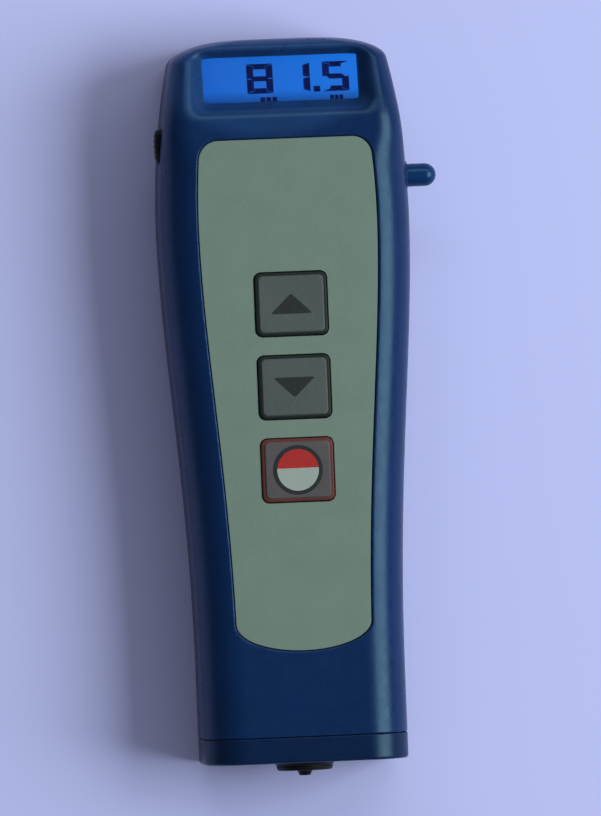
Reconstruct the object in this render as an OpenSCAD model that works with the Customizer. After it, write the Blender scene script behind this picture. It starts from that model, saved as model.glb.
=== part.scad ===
// Pocket coating thickness gauge, lying on its back.
// X runs across the case, Y along it towards the display, Z out of the front.
// The origin is on the back face, on the centre line, level with the widest place of the case.

/* [Case] */
// Length of the case, from the end cap to the head
case_len = 146; // [142:1:170]
// Width of the case at its shoulder
case_w = 50.4; // [50:0.2:60]
// Width of the case at its foot
foot_w = 41.4; // [41:0.2:48]
// Depth of the case, back to front
case_d = 26; // [25.6:0.2:32]
// Thickness of the side walls
wall = 2; // [1.6:0.1:2.4]
// Thickness of the front wall
front_wall = 2.8; // [2.4:0.1:3.2]
// Thickness of the front wall around the display
head_wall = 4.6; // [4.4:0.1:5.2]
// Thickness of the back wall
rear_wall = 2.6; // [2.4:0.1:3]
// Height at which the two case halves meet
parting_z = 10; // [9:0.1:10.2]
// Radius of the long front edges
front_edge_r = 8.5; // [6:0.5:9]
// Radius of the front edges beside the display
head_edge_r = 5.5; // [4:0.5:6]
// Radius of the long back edges
back_edge_r = 4; // [2.5:0.5:5]
// Distance of the widest place from the head end
shoulder_from_head = 37; // [32:1:42]
// Length of the straight-sided foot
straight_foot = 12; // [10:1:30]
// How far the swell of the sides leans towards the shoulder, 1 for an even swell
taper_bias = 1.3; // [1:0.05:1.6]
// How much narrower each side is at the head end than at the shoulder
head_narrowing = 4.3; // [3:0.1:5]
// Length of the rounding at the head end
end_round = 4.5; // [3.5:0.1:5.5]
// How far the head's corners come in
end_corner = 12; // [8:0.5:12]
// Distance from the head end at which the front starts to slope
brow_from_head = 15.5; // [14:0.5:18]
// Slope of the head, degrees
head_slope = 16; // [12:1:18]
// Length over which the brow is rolled over
brow_roll = 4; // [2:0.5:6]
// Height of the end cap
cap_h = 5.3; // [4.4:0.1:6]
// Gap left showing at the seam of the end cap
seam_gap = 0.15; // [0.05:0.05:0.3]
// Chamfer around the bottom of the end cap
cap_chamfer = 0.5; // [0.4:0.1:1.2]
// Thickness of the end wall of the cap
cap_floor = 2.4; // [2:0.1:2.6]

/* [Key panel] */
// Distance of the panel's top edge from the head end
panel_from_head = 20.4; // [19:0.1:22]
// Distance of the panel's bottom edge from the foot
panel_from_foot = 22.6; // [18:0.2:26]
// Width of the border between the panel and the side of the case
panel_border = 7.2; // [7:0.1:9]
// Thickness of the panel
panel_t = 0.6; // [0.4:0.1:0.8]
// Depth of the recess that the panel lies in
panel_recess = 1; // [0.8:0.1:1.2]
// Height of the rounded bottom end of the panel
panel_bottom_arc = 5.5; // [3:0.5:8]
// Radius of the panel's top corners
panel_corner = 3.6; // [2:0.2:5]

/* [Keys] */
// Width of a key
key_w = 14.5; // [12:0.1:16]
// Height of a key, along the case
key_h = 12.7; // [10:0.1:13.4]
// Corner radius of a key
key_r = 1.3; // [0.8:0.1:2]
// Distance between keys
key_pitch = 16.7; // [16:0.1:18]
// Distance of the first key from the head end
key_from_head = 53.7; // [50:0.1:56]
// Height of the keys above the panel
key_proud = 0.6; // [0.4:0.1:1]
// Width of the coloured rim of a key
key_rim = 0.7; // [0.4:0.1:1]
// Travel of a key
key_travel = 0.6; // [0.3:0.1:0.8]

/* [Display] */
// Width of the display that shows
view_w = 31.3; // [26:0.1:32]
// Height of the display that shows
view_h = 9.5; // [8:0.1:10]
// Distance of the display's centre from the head end
view_from_head = 7.3; // [7.2:0.05:8.6]
// Depth of the funnel around the display
funnel_depth = 3.2; // [2:0.1:3.4]
// Run of the funnel's side walls
funnel_side = 2.8; // [2:0.1:3.5]
// Run of the funnel's lower wall
funnel_low = 3; // [2:0.1:3.4]
// Run of the funnel's upper wall
funnel_top = 1.1; // [1:0.1:2]
// Thickness of the clear window
window_t = 1.2; // [0.8:0.1:1.4]
// Thickness of the display glass
glass_t = 2; // [1.6:0.1:2.2]
// Thickness of the light guide behind the glass
backlight_t = 2; // [1.5:0.1:2.2]

/* [Side controls] */
// Diameter of the domed button
button_d = 4.65; // [4:0.05:5]
// How far the domed button stands out
button_proud = 5.9; // [4:0.1:8]
// Distance of the domed button from the head end
button_from_head = 28.5; // [27.5:0.1:30]
// Travel of the domed button
button_travel = 2; // [1:0.1:2.2]
// Length of the black side key
side_key_len = 6.7; // [5:0.1:7]
// Height of the black side key
side_key_h = 4.2; // [3:0.1:4.4]
// How far the black side key stands out
side_key_proud = 1.1; // [0.9:0.1:2]
// Distance of the black side key from the head end
side_key_from_head = 20.8; // [20:0.1:22]
// Travel of the black side key
side_key_travel = 0.6; // [0.3:0.1:0.7]

/* [Probe] */
// Diameter of the probe sleeve where it meets the end cap
sleeve_d = 12.1; // [11.4:0.1:13]
// Diameter of the probe sleeve at its face
sleeve_face_d = 10.9; // [9:0.1:11.2]
// How far the probe sleeve stands out of the end cap
sleeve_proud = 1.8; // [1:0.1:4]
// Diameter of the pole tip
tip_d = 3.2; // [2.6:0.1:3.6]
// Diameter of the pole tip's end
tip_end_d = 2.4; // [1.6:0.1:2.6]
// Travel of the probe
probe_travel = 1; // [0.5:0.1:1]
// Length of the probe sleeve inside the end cap
sleeve_inside = 22; // [21:0.5:25]

/* [Battery] */
// Diameter of a cell
cell_d = 10.5; // [10:0.1:10.6]
// Length of a cell
cell_len = 44.5; // [40:0.5:46]
// Distance of the battery bay from the foot
bay_from_foot = 30; // [29:0.5:34]
// Thickness of the battery door
door_t = 1.6; // [1.4:0.1:1.7]
// Diameter of the door's hinge pins
hinge_d = 1; // [0.8:0.1:1.1]

/* [Board] */
// Width of the circuit board
board_w = 30; // [29:0.5:30.5]
// Thickness of the circuit board
board_t = 1.6; // [1:0.2:1.6]
// Width of a switch body
switch_w = 6; // [5:0.5:6.5]

/* [Fasteners] */
// Thread diameter of the case screws
case_screw_d = 2.5; // [2:0.1:2.8]
// Length of the case screws
case_screw_len = 13; // [10:0.5:15]
// Thread diameter of the board and cap screws
small_screw_d = 1.9; // [1.6:0.1:2]

/* [Hidden] */

$fn = 48;

// Clearances
running_gap = 0.05;
slide_gap = 0.2;
panel_fit = 0.15;
part_gap = 0.3;
board_gap = 0.7;
over = 1;

// Ends of the case and heights that follow from the sizes
shoulder_y = 0;
head_y = shoulder_y + shoulder_from_head;
foot_y = head_y - case_len;
seam_y = foot_y + cap_h;
brow_y = head_y - brow_from_head;
inner_front_z = case_d - front_wall;
panel_z = case_d - panel_recess;
panel_top_z = panel_z + panel_t;

// Where the edges tighten and the front wall thickens, counted back from the brow
blend_from = 12;
blend_len = 10;
thick_from = 6;
thick_len = 4;
least_flat = 0.5;
least_r = 0.6;

// Battery bay, door and board, stacked up from the back
door_out = 0.2;
door_seat = door_out + door_t + slide_gap;
tray_wall = 1.2;
cell_z = door_out + door_t + part_gap + cell_d / 2;
roof_z = cell_z + cell_d / 2 + part_gap;
board_z = roof_z + tray_wall + board_gap;
board_top_z = board_z + board_t;
plate_t = 0.4;
contact_len = 4.7;
bay_len = cell_len + contact_len + 2 * plate_t;
bay_y = foot_y + bay_from_foot;
bay_end_y = bay_y + bay_len;
bay_half_w = cell_d + 2 * part_gap;
cell_x = (cell_d + part_gap) / 2;
door_lap = 2;
door_half_w = bay_half_w + door_lap - slide_gap;
door_y = bay_y - door_lap;
door_end_y = bay_end_y + door_lap;
hinge_z = door_out + door_t / 2;
hinge_y = door_y + door_t / 2 + slide_gap;
hinge_reach = 1.4;
tab_w = 3;
notch_d = 9;
notch_depth = 0.9;

// Keys and switches
key_ys = [for (i = [0:2]) head_y - key_from_head - i * key_pitch];
key_step = 0.25;
flange_lap = 1;
flange_t = 1;
flange_top_z = inner_front_z - slide_gap;
board_room = inner_front_z - board_top_z;
switch_h = board_room * 0.45;
switch_top_z = board_top_z + switch_h;
plunger_stop = 0.5;
plunger_up = plunger_stop + key_travel;
plunger_top_z = switch_top_z + plunger_up;
plunger_in = switch_h * 0.38;
plunger_d = 3.4;
post_d = 4;

// Display, in the frame of the sloped head
view_y = head_y - view_from_head;
view_corner = 0.8;
view_ledge = 0.2;
window_lap = 1;
window_lip = 0.4;
window_depth = funnel_depth + window_lip;
glass_depth = window_depth + window_t;
backlight_depth = glass_depth + glass_t;
holder_depth = backlight_depth + backlight_t;
glass_side = 2;
glass_w = view_w + 2 * glass_side;
glass_top = view_h / 2 + 0.6;
glass_low = view_h / 2 + 1.6;
holder_wall = 1;
holder_room = holder_depth + 2 * holder_wall - head_wall + running_gap;

// Board outline and what stands on it
board_below_key = 9.5;
board_foot_y = key_ys[2] - board_below_key;
board_head_y = head_point(-glass_low - holder_wall, holder_depth + holder_wall)[0] - part_gap;
boss_d = 5.8;
rear_boss_d = boss_d + 1.6;
case_boss_x = board_w / 2 + board_gap + boss_d / 2;
case_boss_y = shoulder_y;
foot_boss_x = foot_w / 2 - wall - boss_d / 2 - board_gap;
foot_boss_below_bay = 11;
foot_boss_y = bay_y - foot_boss_below_bay;
board_post_d = 4.6;
board_post_inset = 1.8;
board_post_x = board_w / 2 - board_post_inset;
post_below_key = 5.3;
post_below_boss = 2;
board_post_ys = [key_ys[0] - post_below_key, case_boss_y - post_below_boss];
rest_post_y = board_foot_y + board_post_d / 2 + board_gap;
post_sink = 0.5;
socket_w = 5;
socket_y = board_foot_y + socket_w / 2 + board_gap;
socket_h = board_room / 2;

// Side controls
side_switch_t = switch_w * 0.6;
side_z = board_z - side_switch_t / 2;
button_y = head_y - button_from_head;
side_key_y = head_y - side_key_from_head;
button_wall_x = side_line(button_y);
side_key_wall_x = side_line(side_key_y);
collar_d = button_d + 1.2;
collar_proud = 0.5;
side_key_r = 1;
side_post_d = 2.6;
side_switch_x = board_w / 2;
side_plunger_d = 2.4;
side_plunger_in = 0.6;
side_plunger_stop = 0.4;

// Probe
probe_z = case_d / 2;
sleeve_y = foot_y - sleeve_proud;
sleeve_len = sleeve_proud + cap_floor + sleeve_inside;
sleeve_tube_d = 10.2;
sleeve_bore_d = 7.4;
sleeve_face_t = 1.6;
tip_rest = 0.1;
tip_proud = probe_travel + tip_rest;
bobbin_len = 11;
bobbin_flange = 1.2;
bobbin_hub_d = 3.8;
shank_d = 2.4;
plug_len = 3;
nut_t = 2.5;
nut_d = sleeve_tube_d + 4;
cap_screw_inset = 7.1;
cap_screw_x = foot_w / 2 - cap_screw_inset;
cap_screw_up = 3.5;
cap_screw_z = probe_z + cap_screw_up;
rim_reach = 1.8;
rim_gap = 0.5;
cap_boss_y = seam_y + rim_reach + rim_gap;
cap_boss_len = 7;
cap_boss_w = foot_w / 2 - wall / 2 - cap_screw_x + boss_d / 2;
plug_rim = 1.4;

// Half width of the case along its length, before the head's corners are rounded
function smooth(t) = let (u = min(max(t, 0), 1)) u * u * (3 - 2 * u);
function side_line(y) =
    let (
        from = foot_y + straight_foot,
        along = pow(max(0, (y - from) / (shoulder_y - from)), taper_bias),
        past = max(0, y - shoulder_y) / shoulder_from_head
    )
    foot_w / 2 + (case_w - foot_w) / 2 * smooth(along)
        - head_narrowing * past * past;

// Share of the head end's rounding that is used up at a place along the case
function end_share(y, inset) =
    let (len = end_round - inset / 2, t = min(1, max(0, (y - (head_y - inset - len)) / len)))
    1 - sqrt(max(0, 1 - t * t));
function half_w(y, inset) = side_line(y) - inset - (end_corner - inset) * end_share(y, inset);

// Front face of the case: flat, rolled over at the brow, then sloping to the head
function brow_drop(y) =
    let (past = y - (brow_y - brow_roll / 2))
    tan(head_slope)
        * (past <= 0 ? 0 : past < brow_roll ? past * past / brow_roll / 2 : past - brow_roll / 2);
function front_z(y, inset) = case_d - brow_drop(y) - inset - (end_round - inset / 2) * end_share(y, inset);
function back_z(y, inset) = inset + (back_edge_r - inset / 2) * end_share(y, inset);
function head_blend(y) = smooth((y - (brow_y - blend_from)) / blend_len);
function edge_r(y) = front_edge_r + (head_edge_r - front_edge_r) * head_blend(y);
function inner_wall(y) =
    front_wall + (head_wall - front_wall) * smooth((y - (brow_y - thick_from)) / thick_len);

// Corners of the cross-sections
function corner(x, z, r, from, steps) =
    [for (i = [0:steps]) let (a = from + 90 * i / steps) [x + r * cos(a), z + r * sin(a)]];
function front_section(y, side, front, base, steps) =
    let (w = half_w(y, side), top = front_z(y, front))
    let (r = min(max(edge_r(y) - side, 1), top - base - least_flat, w - least_flat))
    concat(
        [[w, base]],
        corner(w - r, top - r, r, 0, steps),
        corner(r - w, top - r, r, 90, steps),
        [[-w, base]]
    );
function back_section(y, side, back, top, steps) =
    let (w = half_w(y, side), low = back_z(y, back))
    let (r = min(max(back_edge_r - side, 1), top - low - least_flat, w - least_flat))
    concat(
        [[-w, top]],
        corner(r - w, low + r, r, 180, steps),
        corner(w - r, low + r, r, 270, steps),
        [[w, top]]
    );
// Places along the case at which it is cut into sections: even along the sides, close at the head end
function stations(from, inset, count, end_count) =
    let (end = head_y - inset, len = end_round - inset / 2, start = end - len)
    concat(
        [for (i = [0:count - 1]) from + (start - from) * i / count],
        [for (i = [0:end_count]) start + len * sin(90 * i / end_count)]
    );

// Solid skinned over a row of equal-sized sections
module skin(ys, sections) {
    count = len(sections[0]);
    last = len(ys) - 1;
    points = [for (i = [0:last]) for (p = sections[i]) [p[0], ys[i], p[1]]];
    sides = [
        for (i = [0:last - 1]) for (j = [0:count - 1])
            let (a = i * count + j, b = i * count + (j + 1) % count)
            each [[a, b + count, a + count], [a, b, b + count]]
    ];
    near_end = [[for (j = [count - 1:-1:0]) j]];
    far_end = [[for (j = [0:count - 1]) last * count + j]];
    polyhedron(points, concat(sides, near_end, far_end));
}

module front_half(from, side, extra, base, count, end_count, steps) {
    ys = stations(from, side, count, end_count);
    skin(ys, [for (y = ys) front_section(y, side, extra ? inner_wall(y) : 0, base, steps)]);
}

module back_half(from, side, back, top, count, end_count, steps) {
    ys = stations(from, side, count, end_count);
    skin(ys, [for (y = ys) back_section(y, side, back, top, steps)]);
}

// Whole cross-section of the foot, used by the end cap: ys and the inset at each of them
function foot_section(y, inset, steps) =
    let (w = side_line(y) - inset, f = front_edge_r - inset, b = max(back_edge_r - inset, least_r))
    concat(
        corner(w - f, case_d - inset - f, f, 0, steps),
        corner(f - w, case_d - inset - f, f, 90, steps),
        corner(b - w, inset + b, b, 180, steps),
        corner(w - b, inset + b, b, 270, steps)
    );
module foot_block(ys, insets, steps) {
    skin(ys, [for (i = [0:len(ys) - 1]) foot_section(ys[i], insets[i], steps)]);
}

// Outline of the key panel: it follows the side of the case
function panel_half_w(y) =
    let (top = head_y - panel_from_head, low = foot_y + panel_from_foot)
    let (high = min(1, max(0, (y - (top - panel_corner)) / panel_corner)))
    let (deep = min(1, max(0, (low + panel_bottom_arc - y) / panel_bottom_arc)))
    (side_line(y) - panel_border - panel_corner * (1 - sqrt(1 - high * high))) * sqrt(1 - deep * deep);
function panel_ys() =
    let (top = head_y - panel_from_head, low = foot_y + panel_from_foot, arc_steps = 12, side_steps = 24)
    let (from = low + panel_bottom_arc, to = top - panel_corner)
    concat(
        [for (i = [0:arc_steps - 1]) from - panel_bottom_arc * cos(90 * i / arc_steps)],
        [for (i = [0:side_steps - 1]) from + (to - from) * i / side_steps],
        [for (i = [0:arc_steps]) to + panel_corner * sin(90 * i / arc_steps)]
    );
module panel_outline(fit) {
    ys = panel_ys();
    mid = (ys[0] + ys[len(ys) - 1]) / 2;
    half = (ys[len(ys) - 1] - ys[0]) / 2;
    right = [for (y = ys) [panel_half_w(y) + fit, mid + (y - mid) * (half + fit) / half]];
    left = [for (i = [len(ys) - 1:-1:0]) [-right[i][0], right[i][1]]];
    polygon(concat(right, left));
}

module rounded_rect(w, h, r) {
    square([w - 2 * r, h], center = true);
    square([w, h - 2 * r], center = true);
    for (x = [-1, 1])
        for (y = [-1, 1])
            translate([x * (w / 2 - r), y * (h / 2 - r)])
                circle(r);
}

module rounded_plate(w, h, r, t) {
    linear_extrude(t)
        rounded_rect(w, h, r);
}

module box(w, h, t) {
    translate([-w / 2, -h / 2, 0])
        cube([w, h, t]);
}

// Frame of the display: centred on it, with +Z out of the sloped face of the head
module head_frame(depth) {
    translate([0, view_y, case_d - brow_drop(view_y)])
        rotate([-head_slope, 0, 0])
            translate([0, 0, -depth])
                children();
}

// Frame of the probe: +Z runs into the case from the face of the sleeve
module probe_frame() {
    translate([0, sleeve_y, probe_z])
        rotate([-90, 0, 0])
            children();
}

// Frame of a side control: +Z points out of the case on the right (1) or left (-1) side
module side_frame(side, y, x) {
    translate([side * x, y, side_z])
        rotate([0, side * 90, 0])
            children();
}

module tube(outer_d, inner_d, len) {
    difference() {
        cylinder(d = outer_d, h = len);
        translate([0, 0, -over])
            cylinder(d = inner_d, h = len + 2 * over);
    }
}

// Closed tube swept along a row of points, with rings square to the path
function unit(v) = v / norm(v);
function along(path, i) = unit(path[min(i + 1, len(path) - 1)] - path[max(i - 1, 0)]);
module sweep(path, r, side, sides) {
    last = len(path) - 1;
    points = [
        for (i = [0:last])
            let (t = along(path, i), u = unit(cross(side[i], t)), v = cross(t, u))
            for (k = [0:sides - 1])
                path[i] + r * cos(360 * k / sides) * u + r * sin(360 * k / sides) * v
    ];
    walls = [
        for (i = [0:last - 1]) for (k = [0:sides - 1])
            let (a = i * sides + k, b = i * sides + (k + 1) % sides)
            each [[a, a + sides, b + sides], [a, b + sides, b]]
    ];
    near_end = [[for (k = [0:sides - 1]) k]];
    far_end = [[for (k = [sides - 1:-1:0]) last * sides + k]];
    polyhedron(points, concat(walls, near_end, far_end));
}

// Coil spring on +Z, from z = 0 to len, its wire inside radius low_r at the bottom and top_r at the top
module coil_spring(low_r, top_r, wire_d, len, turns) {
    steps = 14;
    count = turns * steps;
    sides = 6;
    rise = len - wire_d;
    path = [
        for (i = [0:count])
            let (a = 360 * i / steps, r = low_r + (top_r - low_r) * i / count - wire_d / 2)
            [r * cos(a), r * sin(a), wire_d / 2 + rise * i / count]
    ];
    out = [for (p = path) [p[0], p[1], 0]];
    sweep(path, wire_d / 2, out, sides);
}

module screw(d, len, head_d, head_h) {
    cylinder(d = head_d, h = head_h);
    translate([0, 0, head_h / 2])
        cylinder(d = d, h = len + head_h / 2);
}

// Case screws: place, head size and the depth of the pocket that the head sits in
case_screw_head_d = 4.4;
case_screw_head_h = 1.6;
case_screw_z = 3.2;
case_screw_places = [
    for (side = [-1, 1])
        each [[side * case_boss_x, case_boss_y], [side * foot_boss_x, foot_boss_y]]
];
small_head_d = 3.6;
small_head_h = 1.2;
small_screw_bite = 4;
head_sink = 0.1;

module at_case_screws() {
    for (p = case_screw_places)
        translate([p[0], p[1], 0])
            children();
}

module at_board_posts() {
    for (side = [-1, 1])
        for (y = board_post_ys)
            translate([side * board_post_x, y, 0])
                children();
}

module at_cap_screws(y) {
    for (side = [-1, 1])
        translate([side * cap_screw_x, y, cap_screw_z])
            rotate([-90, 0, 0])
                children();
}

module key_hole() {
    rounded_plate(key_w + 2 * slide_gap, key_h + 2 * slide_gap, key_r + slide_gap, front_wall + 2 * over);
}

// Funnel that narrows from the face of the head to the display
module funnel() {
    rise = 1.5;
    mouth_r = 3;
    grow = (funnel_depth + rise) / funnel_depth;
    skin_t = 0.01;
    low = funnel_low * grow;
    top = funnel_top * grow;
    hull($fn = 32) {
        head_frame(funnel_depth)
            rounded_plate(view_w + 2 * view_ledge, view_h + 2 * view_ledge, view_corner, skin_t);
        head_frame(-rise)
            translate([0, (top - low) / 2, 0])
                rounded_plate(view_w + 2 * funnel_side * grow, view_h + low + top, mouth_r, skin_t);
    }
}

module front_shell() {
    post_top_z = inner_front_z + post_sink;
    pilot = small_screw_d + 2 * running_gap;
    color([0.1, 0.19, 0.37])
    difference() {
        union() {
            difference() {
                front_half(seam_y, 0, false, parting_z, 38, 8, 8);
                front_half(seam_y - over, wall, true, parting_z - over, 20, 5, 4);
            }
            at_case_screws()
                translate([0, 0, parting_z])
                    cylinder(d = boss_d, h = post_top_z - parting_z);
            at_board_posts()
                translate([0, 0, board_top_z])
                    cylinder(d = board_post_d, h = post_top_z - board_top_z);
            for (side = [-1, 1])
                translate([side * board_post_x, rest_post_y, board_top_z])
                    cylinder(d = board_post_d, h = post_top_z - board_top_z);
            for (side = [-1, 1])
                translate([side * (cap_screw_x - boss_d / 2 + cap_boss_w / 2), cap_boss_y, cap_screw_z])
                    rotate([-90, 0, 0])
                        box(cap_boss_w, boss_d, cap_boss_len);
            side_frame(1, button_y, button_wall_x - wall / 2)
                cylinder(d = collar_d, h = wall / 2 + collar_proud);
        }
        translate([0, 0, panel_z])
            linear_extrude(panel_recess + over)
                panel_outline(panel_fit);
        for (y = key_ys)
            translate([0, y, inner_front_z - over])
                key_hole();
        funnel();
        head_frame(funnel_depth + head_wall)
            rounded_plate(view_w, view_h, view_corner, head_wall + over / 2);
        head_frame(funnel_depth + head_wall)
            rounded_plate(
                view_w + 2 * window_lap + 2 * slide_gap,
                view_h + 2 * window_lap + 2 * slide_gap,
                window_lap,
                head_wall - window_lip
            );
        in_glass(holder_wall + slide_gap, holder_depth + 2 * holder_wall, holder_room);
        side_frame(1, button_y, button_wall_x - 2 * wall)
            cylinder(d = button_d + 4 * running_gap, h = 4 * wall);
        side_frame(-1, side_key_y, side_key_wall_x - 2 * wall)
            rounded_plate(side_key_h + 2 * slide_gap, side_key_len + 2 * slide_gap, side_key_r, 4 * wall);
        at_case_screws()
            translate([0, 0, parting_z - over])
                cylinder(
                    d = case_screw_d + 2 * running_gap,
                    h = case_screw_z + case_screw_len - parting_z + 2 * over
                );
        at_board_posts()
            translate([0, 0, board_top_z - over])
                cylinder(d = pilot, h = small_screw_bite + 2 * over);
        at_cap_screws(cap_boss_y - over)
            cylinder(d = pilot, h = cap_boss_len);
    }
}

module rear_shell() {
    tray_low_z = rear_wall / 2;
    color([0.09, 0.17, 0.34])
    difference() {
        union() {
            difference() {
                back_half(seam_y, 0, 0, parting_z, 38, 8, 6);
                back_half(seam_y - over, wall, rear_wall, parting_z + over, 20, 5, 3);
            }
            translate([0, bay_y - tray_wall + (bay_len + 2 * tray_wall) / 2, tray_low_z])
                box(2 * (bay_half_w + tray_wall), bay_len + 2 * tray_wall, roof_z + tray_wall - tray_low_z);
            translate([0, (door_y + door_end_y) / 2, tray_low_z])
                box(2 * (door_half_w + hinge_reach + 2 * wall), door_end_y - door_y + 2 * wall, rear_wall);
            at_case_screws()
                translate([0, 0, tray_low_z])
                    cylinder(d = rear_boss_d, h = parting_z - tray_low_z);
        }
        translate([0, bay_y + bay_len / 2, -over])
            box(2 * bay_half_w, bay_len, roof_z + over);
        translate([0, (door_y + door_end_y) / 2, -over])
            box(2 * (door_half_w + slide_gap), door_end_y - door_y + 2 * slide_gap, door_seat + over);
        for (side = [-1, 1])
            translate([side * (door_half_w - over), hinge_y, hinge_z])
                rotate([0, side * 90, 0])
                    cylinder(d = hinge_d + 2 * running_gap, h = hinge_reach + slide_gap + over);
        for (side = [-1, 1])
            translate([side * cell_x, bay_end_y - plate_t / 2, roof_z - over])
                box(tab_w + 2 * slide_gap, plate_t + 2 * slide_gap, tray_wall + 2 * over);
        translate([0, door_end_y, 0])
            cylinder(d = notch_d, h = 2 * notch_depth, center = true);
        at_case_screws() {
            translate([0, 0, -over])
                cylinder(
                    d = case_screw_head_d + 2 * slide_gap,
                    h = case_screw_z + over + case_screw_head_h
                );
            cylinder(d = case_screw_d + 2 * slide_gap, h = parting_z + over);
        }
    }
}

module end_cap() {
    rim_y = seam_y + rim_reach;
    rim_inset = front_wall + panel_fit;
    hollow = rim_inset + plug_rim;
    color([0.07, 0.13, 0.27])
    difference() {
        union() {
            foot_block([foot_y, foot_y + cap_chamfer, seam_y - seam_gap], [cap_chamfer, 0, 0], 8);
            foot_block([foot_y + cap_floor, rim_y], [rim_inset, rim_inset], 6);
        }
        foot_block([foot_y + cap_floor, rim_y + over], [hollow, hollow], 4);
        translate([0, foot_y - over, probe_z])
            rotate([-90, 0, 0])
                cylinder(d = sleeve_tube_d + 2 * running_gap, h = cap_floor + 2 * over);
        at_cap_screws(foot_y - over)
            cylinder(d = small_screw_d + 2 * slide_gap, h = cap_floor + 2 * over);
        at_cap_screws(foot_y - over)
            cylinder(d = small_head_d + 2 * slide_gap, h = over + small_head_h + head_sink);
    }
}

// The door is round along its hinge edge, so that it turns in its recess
module battery_door() {
    plate_y = hinge_y;
    plate_len = door_end_y - plate_y;
    grip_from = 8;
    grip_pitch = 2;
    grip_w = 0.8;
    grip_depth = 0.6;
    color([0.09, 0.17, 0.34])
    difference() {
        union() {
            translate([0, plate_y + plate_len / 2, door_out])
                box(2 * door_half_w, plate_len, door_t);
            translate([-door_half_w, hinge_y, hinge_z])
                rotate([0, 90, 0])
                    cylinder(d = door_t, h = 2 * door_half_w);
            translate([-door_half_w - hinge_reach, hinge_y, hinge_z])
                rotate([0, 90, 0])
                    cylinder(d = hinge_d, h = 2 * (door_half_w + hinge_reach));
        }
        translate([0, door_end_y, 0])
            cylinder(d = notch_d, h = 2 * notch_depth, center = true);
        for (i = [0:3])
            translate([0, door_end_y - grip_from - grip_pitch * i, door_out - over])
                box(notch_d, grip_w, grip_depth + over);
    }
}

module case_screws() {
    color([0.55, 0.56, 0.58])
    at_case_screws()
        translate([0, 0, case_screw_z])
            screw(case_screw_d, case_screw_len - case_screw_head_h, case_screw_head_d, case_screw_head_h);
}

module cap_screws() {
    color([0.55, 0.56, 0.58])
    at_cap_screws(foot_y + head_sink)
        screw(
            small_screw_d, cap_boss_y - foot_y + small_screw_bite - small_head_h,
            small_head_d, small_head_h
        );
}

module key_panel() {
    color([0.42, 0.51, 0.47])
    difference() {
        translate([0, 0, panel_z])
            linear_extrude(panel_t)
                panel_outline(0);
        for (y = key_ys)
            translate([0, y, inner_front_z])
                key_hole();
    }
}

// A key: retaining flange under the front wall, body through the wall, raised face, post to its switch
module key(i, tint) {
    flange_z = flange_top_z - flange_t;
    face_z = panel_top_z + key_proud;
    color(tint)
    translate([0, key_ys[i], 0]) {
        translate([0, 0, flange_z])
            rounded_plate(key_w + 2 * flange_lap, key_h + 2 * flange_lap, key_r + flange_lap, flange_t);
        translate([0, 0, flange_z + flange_t / 2])
            rounded_plate(key_w, key_h, key_r, face_z - key_step - flange_z - flange_t / 2);
        translate([0, 0, flange_z + flange_t / 2])
            rounded_plate(
                key_w - 2 * key_rim, key_h - 2 * key_rim, key_r, face_z - flange_z - flange_t / 2
            );
        translate([0, 0, plunger_top_z])
            cylinder(d = post_d, h = flange_z + flange_t / 2 - plunger_top_z);
    }
}

module key_up() {
    key(0, [0.3, 0.35, 0.35]);
}

module key_down() {
    key(1, [0.3, 0.35, 0.35]);
}

module key_power() {
    key(2, [0.34, 0.33, 0.33]);
}

module plunger(i) {
    color([0.12, 0.12, 0.13])
    translate([0, key_ys[i], switch_top_z - plunger_in])
        cylinder(d = plunger_d, h = plunger_in + plunger_up);
}

module up_plunger() {
    plunger(0);
}

module down_plunger() {
    plunger(1);
}

module power_plunger() {
    plunger(2);
}

module key_switches() {
    room = plunger_in + key_travel + slide_gap;
    color([0.16, 0.16, 0.17])
    for (y = key_ys)
        translate([0, y, board_top_z])
            difference() {
                box(switch_w, switch_w, switch_h);
                translate([0, 0, switch_h - room])
                    cylinder(d = plunger_d + 2 * slide_gap, h = room + over);
            }
}

module lcd_window() {
    color([0.75, 0.85, 0.95, 0.4])
    head_frame(glass_depth)
        rounded_plate(view_w + 2 * window_lap, view_h + 2 * window_lap, window_lap, window_t);
}

module in_glass(margin, depth, t) {
    head_frame(depth)
        translate([0, (glass_top - glass_low) / 2, 0])
            box(glass_w + 2 * margin, glass_top + glass_low + 2 * margin, t);
}

module lcd_glass() {
    color([0.1, 0.4, 0.78])
    in_glass(0, backlight_depth, glass_t);
}

module lcd_backlight() {
    color([0.85, 0.9, 0.95])
    in_glass(0, holder_depth, backlight_t);
}

// Frame that carries the glass and the light guide, open at its lower edge for the ribbon
module lcd_holder() {
    open_w = ribbon_w + 2 * ribbon_room;
    color([0.13, 0.13, 0.14])
    difference() {
        in_glass(holder_wall, holder_depth + holder_wall, holder_depth + holder_wall - head_wall);
        in_glass(running_gap, holder_depth, holder_depth - head_wall + over);
        head_frame(glass_depth)
            rounded_plate(
                view_w + 2 * window_lap + 2 * running_gap,
                view_h + 2 * window_lap + 2 * running_gap,
                window_lap,
                window_t
            );
        head_frame(holder_depth)
            translate([0, -glass_low - holder_wall / 2, 0])
                box(open_w, 2 * holder_wall, holder_depth);
    }
}

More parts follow.
